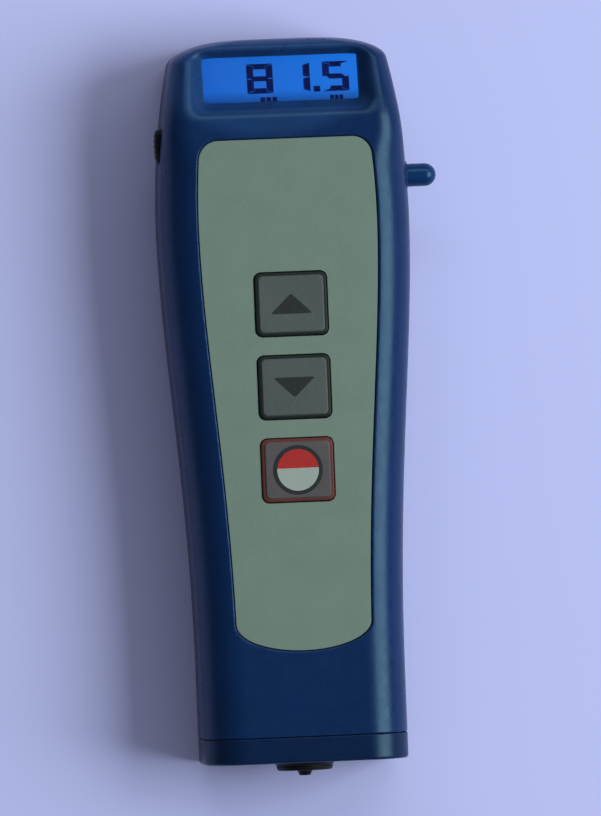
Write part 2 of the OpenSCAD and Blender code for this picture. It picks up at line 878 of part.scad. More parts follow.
// Ribbon from the lower edge of the glass down to the board, bent in one plane
ribbon_w = 22;
ribbon_t = 0.25;
ribbon_room = 2;
ribbon_out = 2.4;
ribbon_dip = 0.4;
ribbon_land = 6;
function head_point(v, depth) =
    [
        view_y + v * cos(head_slope) - depth * sin(head_slope),
        case_d - brow_drop(view_y) - v * sin(head_slope) - depth * cos(head_slope)
    ];
function strip(path, t) =
    let (last = len(path) - 1)
    let (ways = [for (i = [0:last]) unit(path[min(i + 1, last)] - path[max(i - 1, 0)])])
    concat(
        [for (i = [0:last]) path[i] + t / 2 * [-ways[i][1], ways[i][0]]],
        [for (i = [last:-1:0]) path[i] - t / 2 * [-ways[i][1], ways[i][0]]]
    );
module lcd_ribbon() {
    start = head_point(-glass_low - 2 * running_gap, backlight_depth - glass_t / 3);
    land = [board_head_y - ribbon_land, board_top_z + ribbon_t / 2];
    bend = [start[0] - ribbon_out, start[1] - ribbon_dip];
    steps = 10;
    middle = [bend[0] - ribbon_dip, land[1]];
    curve = [
        for (i = [0:steps])
            let (t = i / steps)
            (1 - t) * (1 - t) * bend + 2 * t * (1 - t) * middle + t * t * [middle[0] - ribbon_out, land[1]]
    ];
    path = concat([start], curve, [land]);
    color([0.78, 0.55, 0.2])
    translate([-ribbon_w / 2, 0, 0])
        rotate([90, 0, 90])
            linear_extrude(ribbon_w)
                polygon(strip(path, ribbon_t));
}

module main_board() {
    color([0.1, 0.36, 0.2])
    difference() {
        translate([0, (board_foot_y + board_head_y) / 2, board_z])
            box(board_w, board_head_y - board_foot_y, board_t);
        at_board_posts()
            translate([0, 0, board_z - over])
                cylinder(d = small_screw_d + 2 * slide_gap, h = board_t + 2 * over);
    }
}

module board_screws() {
    color([0.55, 0.56, 0.58])
    at_board_posts()
        translate([0, 0, board_z - small_head_h])
            screw(small_screw_d, board_t + small_screw_bite, small_head_d, small_head_h);
}

module on_board(x, y) {
    translate([x, y, board_top_z])
        children();
}

module processor_chip() {
    side = 10;
    height = 1.4;
    color([0.08, 0.08, 0.09])
    on_board(-board_w / 5, case_boss_y + side / 2)
        box(side, side, height);
}

module amplifier_chip() {
    width = 4;
    length = 5;
    height = 1.5;
    color([0.08, 0.08, 0.09])
    on_board(-board_w / 2 + width, key_ys[1])
        box(width, length, height);
}

module crystal_can() {
    length = 9;
    width = 3.6;
    height = board_room * 0.47;
    color([0.7, 0.71, 0.72])
    on_board(-length / 2, case_boss_y - width)
        rounded_plate(length, width, width / 2 - running_gap, height);
}

module board_capacitors() {
    can_d = board_w / 6;
    can_h = board_room * 0.75;
    spread = 4;
    color([0.6, 0.62, 0.65])
    for (side = [-1, 1])
        on_board(board_w / 2 - can_d / 2 - board_gap, key_ys[1] + side * spread)
            cylinder(d = can_d, h = can_h);
}

module buzzer() {
    can_d = board_w * 0.4;
    hole_d = 2;
    can_h = board_room * 0.8;
    color([0.07, 0.07, 0.08])
    on_board(can_d / 2, case_boss_y + can_d / 2 - part_gap)
        tube(can_d, hole_d, can_h);
}

module probe_socket() {
    color([0.88, 0.86, 0.8])
    on_board(0, socket_y)
        box(socket_w, socket_w, socket_h);
}

// Domed button: flange behind the wall, shaft through the wall, round end
module side_button() {
    r = button_d / 2;
    seat = button_wall_x - wall - slide_gap - button_slope;
    tip = button_wall_x + button_proud - seat;
    post = seat - flange_t - side_switch_x - button_plunger_up;
    post_r = side_post_d / 2;
    dome = [for (a = [0:10:90]) [r * cos(a), tip - r + r * sin(a)]];
    color([0.11, 0.22, 0.4])
    side_frame(1, button_y, seat)
        rotate_extrude()
            polygon(concat(
                [[0, -flange_t - post], [post_r, -flange_t - post], [post_r, -flange_t]],
                [[r + flange_lap, -flange_t], [r + flange_lap, 0], [r, 0]],
                dome
            ));
}
button_plunger_up = side_plunger_stop + button_travel;
button_slope = button_wall_x - side_line(button_y + button_d / 2 + flange_lap);

module button_plunger() {
    color([0.12, 0.12, 0.13])
    side_frame(1, button_y, side_switch_x - side_plunger_in)
        cylinder(d = side_plunger_d, h = button_plunger_up + side_plunger_in);
}

// A switch on the underside of the board, with a bore for its plunger
module side_switch(side, y, travel) {
    room = travel + side_plunger_in + slide_gap;
    color([0.16, 0.16, 0.17])
    side_frame(side, y, side_switch_x - side_switch_t)
        difference() {
            box(side_switch_t, switch_w, side_switch_t);
            translate([0, 0, side_switch_t - room])
                cylinder(d = side_plunger_d + 2 * slide_gap, h = room + over);
        }
}

module button_switch() {
    side_switch(1, button_y, button_travel);
}

side_key_plunger_up = side_plunger_stop + side_key_travel;
side_key_slope = side_key_wall_x - side_line(side_key_y + side_key_len / 2 + flange_lap);
module side_key() {
    edge = 0.3;
    seat = side_key_wall_x - wall - slide_gap - side_key_slope;
    reach = side_key_wall_x + side_key_proud - seat;
    post = seat - flange_t - side_switch_x - side_key_plunger_up;
    color([0.05, 0.05, 0.06])
    side_frame(-1, side_key_y, seat) {
        translate([0, 0, -flange_t])
            rounded_plate(side_key_h + 2 * flange_lap, side_key_len + 2 * flange_lap, side_key_r, flange_t);
        translate([0, 0, -flange_t / 2])
            rounded_plate(side_key_h, side_key_len, side_key_r, reach - edge + flange_t / 2);
        translate([0, 0, -flange_t / 2])
            rounded_plate(side_key_h - 2 * edge, side_key_len - 2 * edge, side_key_r, reach + flange_t / 2);
        translate([0, 0, -flange_t - post])
            cylinder(d = side_post_d, h = post + flange_t / 2);
    }
}

module side_key_plunger() {
    color([0.12, 0.12, 0.13])
    side_frame(-1, side_key_y, side_switch_x - side_plunger_in)
        cylinder(d = side_plunger_d, h = side_key_plunger_up + side_plunger_in);
}

module side_key_switch() {
    side_switch(-1, side_key_y, side_key_travel);
}

// A cell, drawn from its flat end at the bottom to its button at the top
cell_nub_d = 4;
cell_nub_h = 0.8;
module cell(side, spring_first) {
    start = spring_first ? bay_y + plate_t + contact_len : bay_end_y - plate_t - contact_len;
    translate([side * cell_x, start, cell_z])
        rotate([spring_first ? -90 : 90, 0, 0]) {
            cylinder(d = cell_d, h = cell_len - cell_nub_h);
            cylinder(d = cell_nub_d, h = cell_len);
        }
}

module battery_left() {
    color([0.75, 0.55, 0.15])
    cell(-1, true);
}

module battery_right() {
    color([0.75, 0.55, 0.15])
    cell(1, false);
}

// Contact plates: one bridge at the foot end, two tabbed plates at the head end
module battery_plates() {
    margin = 0.5;
    plate_w = cell_d - 2 * margin;
    plate_h = cell_d - 3 * margin;
    color([0.72, 0.73, 0.74])
    translate([0, 0, cell_z - plate_h / 2]) {
        translate([0, bay_y + plate_t / 2, 0])
            box(2 * cell_x + plate_w, plate_t, plate_h);
        for (side = [-1, 1])
            translate([side * cell_x, bay_end_y - plate_t / 2, 0]) {
                box(plate_w, plate_t, plate_h);
                box(tab_w, plate_t, board_z - cell_z + plate_h / 2);
            }
    }
}

module battery_springs() {
    wire_d = 0.6;
    base_r = 4;
    tip_r = 2.4;
    turns = 4;
    color([0.72, 0.73, 0.74])
    {
        translate([-cell_x, bay_y + plate_t, cell_z])
            rotate([-90, 0, 0])
                coil_spring(base_r, tip_r, wire_d, contact_len, turns);
        translate([cell_x, bay_end_y - plate_t, cell_z])
            rotate([90, 0, 0])
                coil_spring(base_r, tip_r, wire_d, contact_len, turns);
    }
}

module probe_sleeve() {
    mouth_r = tip_d / 2 + panel_fit;
    color([0.05, 0.05, 0.06])
    probe_frame()
        rotate_extrude()
            polygon([
                [mouth_r, 0],
                [sleeve_face_d / 2, 0],
                [sleeve_d / 2, sleeve_proud],
                [sleeve_tube_d / 2, sleeve_proud],
                [sleeve_tube_d / 2, sleeve_len],
                [sleeve_bore_d / 2, sleeve_len],
                [sleeve_bore_d / 2, sleeve_face_t],
                [mouth_r, sleeve_face_t]
            ]);
}

module probe_nut() {
    color([0.6, 0.48, 0.25])
    probe_frame()
        translate([0, 0, sleeve_proud + cap_floor])
            difference() {
                cylinder(d = nut_d, h = nut_t, $fn = 6);
                translate([0, 0, -over])
                    cylinder(d = sleeve_tube_d + 2 * running_gap, h = nut_t + 2 * over);
            }
}

bobbin_y = sleeve_face_t + running_gap;
core_tail = 1;
module probe_core() {
    shoulder = bobbin_y;
    tail = shoulder + bobbin_len + core_tail;
    color([0.6, 0.61, 0.63])
    probe_frame()
        rotate_extrude()
            polygon([
                [0, -tip_proud],
                [tip_end_d / 2, -tip_proud],
                [tip_d / 2, 0],
                [tip_d / 2, shoulder],
                [shank_d / 2, shoulder],
                [shank_d / 2, tail],
                [0, tail]
            ]);
}

module probe_bobbin() {
    far = bobbin_y + bobbin_len;
    rim = sleeve_bore_d / 2 - running_gap;
    hole = shank_d / 2 + running_gap;
    color([0.85, 0.84, 0.8])
    probe_frame()
        rotate_extrude()
            polygon([
                [hole, bobbin_y],
                [rim, bobbin_y],
                [rim, bobbin_y + bobbin_flange],
                [bobbin_hub_d / 2, bobbin_y + bobbin_flange],
                [bobbin_hub_d / 2, far - bobbin_flange],
                [rim, far - bobbin_flange],
                [rim, far],
                [hole, far]
            ]);
}

module probe_coil() {
    coil_gap = 0.5;
    color([0.72, 0.4, 0.18])
    probe_frame()
        translate([0, 0, bobbin_y + bobbin_flange])
            tube(sleeve_bore_d - 2 * coil_gap, bobbin_hub_d, bobbin_len - 2 * bobbin_flange);
}

module probe_spring() {
    from = bobbin_y + bobbin_len;
    r = sleeve_bore_d / 2 - part_gap;
    wire_d = 0.5;
    turns = 6;
    color([0.65, 0.66, 0.68])
    probe_frame()
        translate([0, 0, from])
            coil_spring(r, r, wire_d, sleeve_len - plug_len - from, turns);
}

plug_hole_d = 2;
module probe_plug() {
    color([0.07, 0.07, 0.08])
    probe_frame()
        translate([0, 0, sleeve_len - plug_len])
            tube(sleeve_bore_d - 2 * running_gap, plug_hole_d, plug_len);
}

// Lead from the plug of the probe over the battery bay to its socket on the board
lead_d = 1.4;
lead_rise = 9;
module probe_lead() {
    plug_end = sleeve_y + sleeve_len;
    from = plug_end - plug_len / 3;
    to = socket_y - socket_w / 2;
    high = board_top_z + socket_h / 2 - probe_z;
    steps = 14;
    route = [
        for (i = [0:steps])
            let (y = from + (to - from) * i / steps)
            [0, y, probe_z + high * smooth((y - plug_end) / lead_rise)]
    ];
    color([0.1, 0.1, 0.11])
    sweep(route, lead_d / 2, [for (p = route) [1, 0, 0]], 8);
}

front_shell();
rear_shell();
end_cap();
battery_door();
case_screws();
cap_screws();
key_panel();
key_up();
key_down();
key_power();
up_plunger();
down_plunger();
power_plunger();
key_switches();
lcd_window();
lcd_glass();
lcd_backlight();
lcd_holder();
lcd_ribbon();
main_board();
board_screws();
processor_chip();
amplifier_chip();
crystal_can();
board_capacitors();
buzzer();
probe_socket();
side_button();
button_plunger();
button_switch();
side_key();
side_key_plunger();
side_key_switch();
battery_left();
battery_right();
battery_plates();
battery_springs();
probe_sleeve();
probe_nut();
probe_core();
probe_bobbin();
probe_coil();
probe_spring();
probe_plug();
probe_lead();
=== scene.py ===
import math

import bmesh
import bpy
import numpy as np
from mathutils import Matrix, Vector
from mathutils.geometry import delaunay_2d_cdt


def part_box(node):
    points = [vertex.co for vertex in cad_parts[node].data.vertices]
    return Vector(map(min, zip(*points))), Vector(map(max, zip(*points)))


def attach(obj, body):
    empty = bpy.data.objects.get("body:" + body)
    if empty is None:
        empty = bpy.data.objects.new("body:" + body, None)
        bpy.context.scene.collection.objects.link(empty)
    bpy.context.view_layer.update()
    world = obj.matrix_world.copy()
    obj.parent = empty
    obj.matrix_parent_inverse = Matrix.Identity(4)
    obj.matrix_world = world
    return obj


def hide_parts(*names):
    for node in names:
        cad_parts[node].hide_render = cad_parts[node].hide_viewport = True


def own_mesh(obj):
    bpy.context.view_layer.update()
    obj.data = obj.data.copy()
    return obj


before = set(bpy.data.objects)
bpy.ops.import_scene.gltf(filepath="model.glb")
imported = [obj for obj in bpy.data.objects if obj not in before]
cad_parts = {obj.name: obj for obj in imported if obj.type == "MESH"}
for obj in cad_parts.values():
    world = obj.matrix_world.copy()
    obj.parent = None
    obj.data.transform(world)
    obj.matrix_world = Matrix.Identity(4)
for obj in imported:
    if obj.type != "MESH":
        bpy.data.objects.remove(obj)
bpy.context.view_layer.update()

# Front shell: the upper half of the case, injection moulded in dark blue plastic with a fine grain.
# It carries the sunk panel, the funnel around the display and the holes for the side controls.
# It is screwed to the rear shell from the back, and the two meet in a thin groove along the sides.
FOOT_Y, SHOULDER_Y, HEAD_Y = -109.0, 0.0, 37.0
SEAM_Y, SEAM_ROUND = FOOT_Y + 5.3, 0.14
BROW_Y, BROW_EASE = HEAD_Y - 15.5, 2.0
CASE_D, PARTING_Z, WALL = 26.0, 10.0, 2.0
FOOT_HALF, SHOULDER_HALF = 20.7, 25.2
FOOT_STRAIGHT, FLARE_POWER, HEAD_TAPER = 12.0, 1.3, 4.3
HEAD_ROUND, HEAD_CORNER, HEAD_EDGE = 4.5, 12.0, 0.4
FRONT_EDGE_R, HEAD_EDGE_LESS = 8.5, 3.0
FRONT_THICK, HEAD_THICKER = 2.8, 1.8
PANEL_TOP_Y, PANEL_LOW_Y = HEAD_Y - 20.4, FOOT_Y + 22.6
PANEL_BORDER, PANEL_SUNK, PANEL_GAP = 7.2, 1.0, 0.15
PANEL_CORNER, PANEL_ARC = 3.6, 5.5
KEY_YS = [HEAD_Y - 53.7 - 16.7 * i for i in range(3)]
KEY_HOLE_HALF_W, KEY_HOLE_HALF_H, KEY_HOLE_Z = 7.45, 6.55, 20.0
SIDE_Z, BUTTON_Y, SIDE_KEY_Y = 13.0, HEAD_Y - 28.5, HEAD_Y - 20.8
COLLAR_R, COLLAR_PROUD, BORE_R = 2.925, 0.5, 2.425
SLOT_HALF_LONG, SLOT_HALF_HIGH, SIDE_HOLE_X = 3.55, 2.3, 15.0
VIEW_W, VIEW_H, VIEW_Y, HEAD_SLOPE = 31.3, 9.5, HEAD_Y - 7.3, math.radians(16)
FUNNEL_DEPTH, WINDOW_DEPTH, FUNNEL_LEDGE = 3.2, 3.6, 0.2
FUNNEL_SIDE, FUNNEL_LOW, FUNNEL_TOP = 2.8, 3.0, 1.1
SIDE_LEAN, LOW_LEAN, TOP_LEAN = 0.75, 0.73, 0.945
POCKET_HALF_W, POCKET_HALF_H = 16.85, 5.95
HOLDER_HALF_W, HOLDER_TOP, HOLDER_LOW, HOLDER_DEPTH = 18.9, 6.55, 7.55, 4.55


def smooth(t):
    u = np.clip(t, 0, 1)
    return u * u * (3 - 2 * u)


def round_max(a, b, width):
    """The greater of two distances, with the edge between them rounded over that width."""
    h = np.maximum(width - np.abs(a - b), 0) / width
    return np.maximum(a, b) + h * h * width / 4


def round_min(a, b, width):
    return -round_max(-a, -b, width)


def side_line(y):
    """Half the width of the case along its length."""
    start = FOOT_Y + FOOT_STRAIGHT
    along = np.maximum(0, (y - start) / (SHOULDER_Y - start)) ** FLARE_POWER
    past = np.maximum(0, y - SHOULDER_Y) / (HEAD_Y - SHOULDER_Y)
    return FOOT_HALF + (SHOULDER_HALF - FOOT_HALF) * smooth(along) - HEAD_TAPER * past * past


def end_share(y, inset):
    """How far round the head end's quarter circle a place is, from 0 to 1."""
    length = HEAD_ROUND - inset / 2
    t = np.clip((y - (HEAD_Y - inset - length)) / length, 0, 1)
    return 1 - np.sqrt(1 - t * t)


def half_width(y, inset):
    return side_line(y) - inset - (HEAD_CORNER - inset) * end_share(y, inset)


def brow_drop(y):
    """How far the sloped head falls below the flat front, eased in at the brow."""
    past = y - (BROW_Y - BROW_EASE)
    eased = np.where(past < 2 * BROW_EASE, past * past / (4 * BROW_EASE), past - BROW_EASE)
    return math.tan(HEAD_SLOPE) * np.where(past <= 0, 0, eased)


def front_height(y, inset, wall):
    return CASE_D - brow_drop(y) - wall - (HEAD_ROUND - inset / 2) * end_share(y, inset)


def edge_radius(y):
    return FRONT_EDGE_R - HEAD_EDGE_LESS * smooth((y - (BROW_Y - 12)) / 10)


def corner_box(x, z, half, top, r):
    """Distance to a strip of that half width, open downwards, with its two top corners rounded."""
    across, up = np.abs(x) - (half - r), z - (top - r)
    outside = np.hypot(np.maximum(across, 0), np.maximum(up, 0))
    return outside + np.minimum(np.maximum(across, up), 0) - r


def plain_box(x, y, half_x, low_y, high_y):
    return np.maximum(np.abs(x) - half_x, np.maximum(low_y - y, y - high_y))


def panel_distance(x, y):
    """Distance to the outline of the key panel: rounded top corners and a half round bottom end."""
    half = side_line(y) - PANEL_BORDER
    deep = np.maximum(PANEL_LOW_Y + PANEL_ARC - y, 0) / PANEL_ARC
    ring = np.hypot(x / half, deep)
    slope = np.hypot(x / half / half, deep / PANEL_ARC) / np.maximum(ring, 1e-6)
    low = (ring - 1) / np.maximum(slope, 1e-3)
    return np.where(y > 0, corner_box(x, y, half, PANEL_TOP_Y, PANEL_CORNER), low)


VIEW_Z = CASE_D - float(brow_drop(VIEW_Y))
BUTTON_WALL_X = float(side_line(np.array(BUTTON_Y)))


def head_place(y, z):
    """Place along the sloped head, from the display's middle, and height above its face."""
    away, up = y - VIEW_Y, z - VIEW_Z
    along = away * math.cos(HEAD_SLOPE) - up * math.sin(HEAD_SLOPE)
    return along, away * math.sin(HEAD_SLOPE) + up * math.cos(HEAD_SLOPE)


def funnel_distance(x, y, z):
    v, up = head_place(y, z)
    open_share = 1 + up / FUNNEL_DEPTH
    side = (np.abs(x) - (VIEW_W / 2 + FUNNEL_LEDGE + FUNNEL_SIDE * open_share)) * SIDE_LEAN
    low = (-v - (VIEW_H / 2 + FUNNEL_LEDGE + FUNNEL_LOW * open_share)) * LOW_LEAN
    top = (v - (VIEW_H / 2 + FUNNEL_LEDGE + FUNNEL_TOP * open_share)) * TOP_LEAN
    return round_max(round_max(side, round_max(low, top, 0.5), 2.2), -FUNNEL_DEPTH - up, 0.3)


def view_hole(x, y, z):
    """The opening over the display, with the pocket of its window and the room of its holder behind."""
    v, up = head_place(y, z)
    hole = round_max(np.abs(x) - VIEW_W / 2, np.abs(v) - VIEW_H / 2, 0.35)
    pocket = np.maximum(np.abs(x) - POCKET_HALF_W, np.abs(v) - POCKET_HALF_H)
    pocket = np.maximum(pocket, up + WINDOW_DEPTH)
    holder = np.maximum(np.abs(x) - HOLDER_HALF_W, np.maximum(v - HOLDER_TOP, -v - HOLDER_LOW))
    holder = np.maximum(holder, up + HOLDER_DEPTH)
    return np.minimum(np.maximum(hole, up + FUNNEL_DEPTH - 0.5), np.minimum(pocket, holder))


def front_field(x, y, z):
    body = corner_box(x, z, half_width(y, 0), front_height(y, 0, 0), edge_radius(y))
    body = round_max(body, y - HEAD_Y, HEAD_EDGE)
    from_axis = np.hypot(y - BUTTON_Y, z - SIDE_Z)
    collar = round_max(from_axis - COLLAR_R, x - BUTTON_WALL_X - COLLAR_PROUD, 0.3)
    body = round_min(body, round_max(collar, BUTTON_WALL_X - WALL - x, 0.1), 0.5)
    body = round_max(body, PARTING_Z - z, SEAM_ROUND)
    body = round_max(body, SEAM_Y - y, SEAM_ROUND)
    thick = FRONT_THICK + HEAD_THICKER * smooth((y - (BROW_Y - 6)) / 4)
    inner_edge = np.maximum(edge_radius(y) - WALL, 1)
    hollow = corner_box(x, z, half_width(y, WALL), front_height(y, WALL, thick), inner_edge)
    body = np.maximum(body, -np.maximum(hollow, y - HEAD_Y + WALL))
    sunk = round_max(panel_distance(x, y) - PANEL_GAP, CASE_D - PANEL_SUNK - z, 0.2)
    body = round_max(body, -sunk, 0.45)
    for key_y in KEY_YS:
        hole = plain_box(x, y - key_y, KEY_HOLE_HALF_W, -KEY_HOLE_HALF_H, KEY_HOLE_HALF_H)
        body = np.maximum(body, -np.maximum(hole, KEY_HOLE_Z - z))
    body = round_max(body, -funnel_distance(x, y, z), 1.5)
    body = round_max(body, -view_hole(x, y, z), 0.12)
    body = round_max(body, -np.maximum(from_axis - BORE_R, SIDE_HOLE_X - x), 0.2)
    slot = round_max(np.abs(y - SIDE_KEY_Y) - SLOT_HALF_LONG, np.abs(z - SIDE_Z) - SLOT_HALF_HIGH, 1.2)
    return round_max(body, -np.maximum(slot, x + SIDE_HOLE_X), 0.25)


def places(*runs):
    """Grid lines: each run is (from, to, spacing)."""
    lines = [np.linspace(a, b, max(2, round((b - a) / gap) + 1)) for a, b, gap in runs]
    return np.unique(np.round(np.concatenate(lines), 6))


def steepness(field, points, reach=0.01):
    moves = np.eye(3) * reach
    return np.stack(
        [(field(*(points + m).T) - field(*(points - m).T)) / (2 * reach) for m in moves], axis=1
    )


def mould(field, xs, ys, zs):
    """Skins the space where a field is negative with quads, settles their corners on its surface,
    and gives the corners, the quads, the normals and how sharply the surface turns there."""
    settle_rounds, longest_step, least_slope, turn_reach = 5, 0.25, 0.05, 0.3
    lines = (xs, ys, zs)
    cells_along = [len(a) - 1 for a in lines]
    values = field(xs[:, None, None], ys[None, :, None], zs[None, None, :])
    values = np.broadcast_to(values, [len(a) for a in lines])
    inside = values < 0
    filled = sum(
        inside[i:i + cells_along[0], j:j + cells_along[1], k:k + cells_along[2]].astype(np.int8)
        for i in (0, 1) for j in (0, 1) for k in (0, 1)
    )
    cells = np.argwhere((filled > 0) & (filled < 8))
    number = np.full(cells_along, -1, np.int64)
    number[tuple(cells.T)] = np.arange(len(cells))
    total, hits = np.zeros((len(cells), 3)), np.zeros(len(cells))
    for axis in range(3):
        first, second = [a for a in range(3) if a != axis]
        for s in (0, 1):
            for t in (0, 1):
                near = cells.copy()
                near[:, first] += s
                near[:, second] += t
                far = near.copy()
                far[:, axis] += 1
                at_near, at_far = values[tuple(near.T)], values[tuple(far.T)]
                crossed = (at_near < 0) != (at_far < 0)
                share = np.where(crossed, at_near / np.where(crossed, at_near - at_far, 1), 0)
                for d in range(3):
                    p, q = lines[d][near[:, d]], lines[d][far[:, d]]
                    total[:, d] += np.where(crossed, p + share * (q - p), 0)
                hits += crossed
    points = total / hits[:, None]
    for _ in range(settle_rounds):
        slope = steepness(field, points)
        step = (field(*points.T) / np.maximum((slope ** 2).sum(1), least_slope))[:, None] * slope
        length = np.linalg.norm(step, axis=1, keepdims=True)
        points = points - step * np.minimum(1, longest_step / np.maximum(length, 1e-9))
    slope = steepness(field, points)
    size = np.maximum(np.linalg.norm(slope, axis=1), 1e-6)
    around = sum(field(*(points + s * m).T) for m in np.eye(3) * turn_reach for s in (-1, 1))
    turn = (around - 6 * field(*points.T)) / turn_reach ** 2 / size
    quads = []
    for axis in range(3):
        u, v = (axis + 1) % 3, (axis + 2) % 3
        low, high = [slice(None)] * 3, [slice(None)] * 3
        low[axis], high[axis] = slice(0, cells_along[axis]), slice(1, cells_along[axis] + 1)
        for side in (u, v):
            low[side] = high[side] = slice(1, cells_along[side])
        behind, ahead = inside[tuple(low)], inside[tuple(high)]
        for turned_round, mask in ((False, behind & ~ahead), (True, ~behind & ahead)):
            where = np.argwhere(mask)
            where[:, u] += 1
            where[:, v] += 1
            ring = []
            for du, dv in ((-1, -1), (0, -1), (0, 0), (-1, 0)):
                cell = where.copy()
                cell[:, u] += du
                cell[:, v] += dv
                ring.append(number[tuple(cell.T)])
            quads.append(np.stack(ring[::-1] if turned_round else ring, axis=1))
    return points, np.concatenate(quads), slope / size[:, None], turn


def make_piece(
    name, points, faces, finishes, body, stands_for=(), bands=None, normals=None, turn=None
):
    """Makes a piece from points in mm, in the part's frame, and lets it ride on a body."""
    mesh = bpy.data.meshes.new(name)
    mesh.from_pydata((np.asarray(points, float) * 0.001).tolist(), [], [list(map(int, f)) for f in faces])
    for finish in finishes:
        mesh.materials.append(finish)
    if bands is not None:
        mesh.polygons.foreach_set("material_index", np.asarray(bands, np.int32))
    mesh.polygons.foreach_set("use_smooth", np.ones(len(mesh.polygons), bool))
    if normals is None:
        work = bmesh.new()
        work.from_mesh(mesh)
        bmesh.ops.remove_doubles(work, verts=work.verts, dist=1e-8)
        bmesh.ops.recalc_face_normals(work, faces=work.faces)
        work.to_mesh(mesh)
        work.free()
        mesh.set_sharp_from_angle(angle=math.radians(38))
    else:
        mesh.attributes.new("edge", "FLOAT", "POINT").data.foreach_set("value", turn.astype(np.float32))
        mesh.normals_split_custom_set_from_vertices(normals.tolist())
    piece = bpy.data.objects.new(name, mesh)
    bpy.context.scene.collection.objects.link(piece)
    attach(piece, body)
    if normals is None:
        flat = piece.modifiers.new("flat faces stay flat", "WEIGHTED_NORMAL")
        flat.keep_sharp = True
    if stands_for:
        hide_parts(*stands_for)
    return piece


def make_moulding(name, field, xs, ys, zs, finish, body, node):
    """Makes the piece that stands for a node by skinning a field."""
    points, quads, normals, turn = mould(field, xs, ys, zs)
    return make_piece(name, points, quads, [finish], body, [node], None, normals, turn)


def tone(red, green, blue):
    """A colour given as a screen shows it, 0 to 255, as the shaders want it."""
    shares = (red / 255, green / 255, blue / 255)
    return [(s / 12.92 if s <= 0.04045 else ((s + 0.055) / 1.055) ** 2.4) for s in shares] + [1.0]


def feed(tree, socket, source):
    if isinstance(source, bpy.types.NodeSocket):
        tree.links.new(source, socket)
    else:
        socket.default_value = source


def add(tree, kind, inputs, **settings):
    made = tree.nodes.new("ShaderNode" + kind)
    for key, value in settings.items():
        setattr(made, key, value)
    for key, source in inputs.items():
        feed(tree, made.inputs[key], source)
    return made


def noise(tree, where, scale, detail=3.0, rough=0.55):
    inputs = {"Vector": where, "Scale": scale, "Detail": detail, "Roughness": rough}
    return add(tree, "TexNoise", inputs).outputs[0]


def remap(tree, source, low, high, to_low, to_high):
    return add(tree, "MapRange", {0: source, 1: low, 2: high, 3: to_low, 4: to_high}).outputs[0]


def maths(tree, operation, first, second):
    return add(tree, "Math", {0: first, 1: second}, operation=operation).outputs[0]


def vectors(tree, operation, first, second):
    return add(tree, "VectorMath", {0: first, 1: second}, operation=operation).outputs[0]


def scaled(tree, colour, share):
    return add(tree, "VectorMath", {0: colour, "Scale": share}, operation="SCALE").outputs[0]


def blended(tree, share, first, second):
    return add(tree, "Mix", {0: share, 6: first, 7: second}, data_type="RGBA").outputs[2]


def new_group(name, inputs, outputs):
    tree = bpy.data.node_groups.new(name, "ShaderNodeTree")
    for direction, sockets in (("INPUT", inputs), ("OUTPUT", outputs)):
        for label in sockets:
            kind = "NodeSocketColor" if "colour" in label.lower() else "NodeSocketFloat"
            tree.interface.new_socket(name=label, in_out=direction, socket_type=kind)
    where = tree.nodes.new("ShaderNodeTexCoord").outputs["Object"]
    return tree, tree.nodes.new("NodeGroupInput").outputs, tree.nodes.new("NodeGroupOutput").inputs, where


def new_finish(name):
    finish = bpy.data.materials.new(name)
    finish.use_nodes = True
    return finish, finish.node_tree, finish.node_tree.nodes["Principled BSDF"]


def effect_finish(name, effect, values, relief, strength):
    """A finish that takes its colour, roughness and bump from a shared effect."""
    finish, tree, shader = new_finish(name)
    source = add(tree, "Group", {}, node_tree=effect)
    for label, value in values.items():
        source.inputs[label].default_value = value
    bump = add(tree, "Bump", {"Height": source.outputs["Height"], "Distance": relief, "Strength": strength})
    feed(tree, shader.inputs["Base Color"], source.outputs["Colour"])
    feed(tree, shader.inputs["Roughness"], source.outputs["Roughness"])
    feed(tree, shader.inputs["Normal"], bump.outputs["Normal"])
    return finish, shader


# Moulded skin, an effect shared by the plastics: cloudy tint, grain that breaks up the gloss
# and pale rubbed places on outer edges.
moulded_skin, given, made, where = new_group(
    "moulded skin", ("Colour", "Worn colour", "Wear", "Gloss", "Grain"), ("Colour", "Roughness", "Height")
)
tree = moulded_skin
handling = noise(tree, where, 420, 4.0, 0.65)
grain = noise(tree, where, 2400, 2.0)
edge = add(tree, "Attribute", {}, attribute_name="edge").outputs["Fac"]
rubbed = maths(tree, "MULTIPLY", remap(tree, edge, 0.5, 2.5, 0, 1), remap(tree, handling, 0.4, 0.7, 0.1, 1))
rubbed = maths(tree, "MULTIPLY", rubbed, given["Wear"])
cloudy = remap(tree, noise(tree, where, 70), 0.3, 0.7, 0.93, 1.07)
tint = maths(tree, "MULTIPLY", cloudy, remap(tree, grain, 0.3, 0.7, 0.92, 1.08))
tinted = scaled(tree, given["Colour"], tint)
feed(tree, made["Colour"], blended(tree, rubbed, tinted, given["Worn colour"]))
dull = remap(tree, handling, 0.3, 0.7, -0.05, 0.06)
feed(tree, made["Roughness"], maths(tree, "ADD", given["Gloss"], dull))
feed(tree, made["Height"], maths(tree, "MULTIPLY", grain, given["Grain"]))


def plastic(name, colour, worn, wear=0.5, gloss=0.45, grain=0.6, specular=0.5, sheen=(1, 1, 1, 1)):
    values = {"Colour": colour, "Worn colour": worn, "Wear": wear, "Gloss": gloss, "Grain": grain}
    finish, shader = effect_finish(name, moulded_skin, values, 0.00006, 0.5)
    shader.inputs["Specular IOR Level"].default_value = specular
    shader.inputs["Specular Tint"].default_value = sheen
    return finish


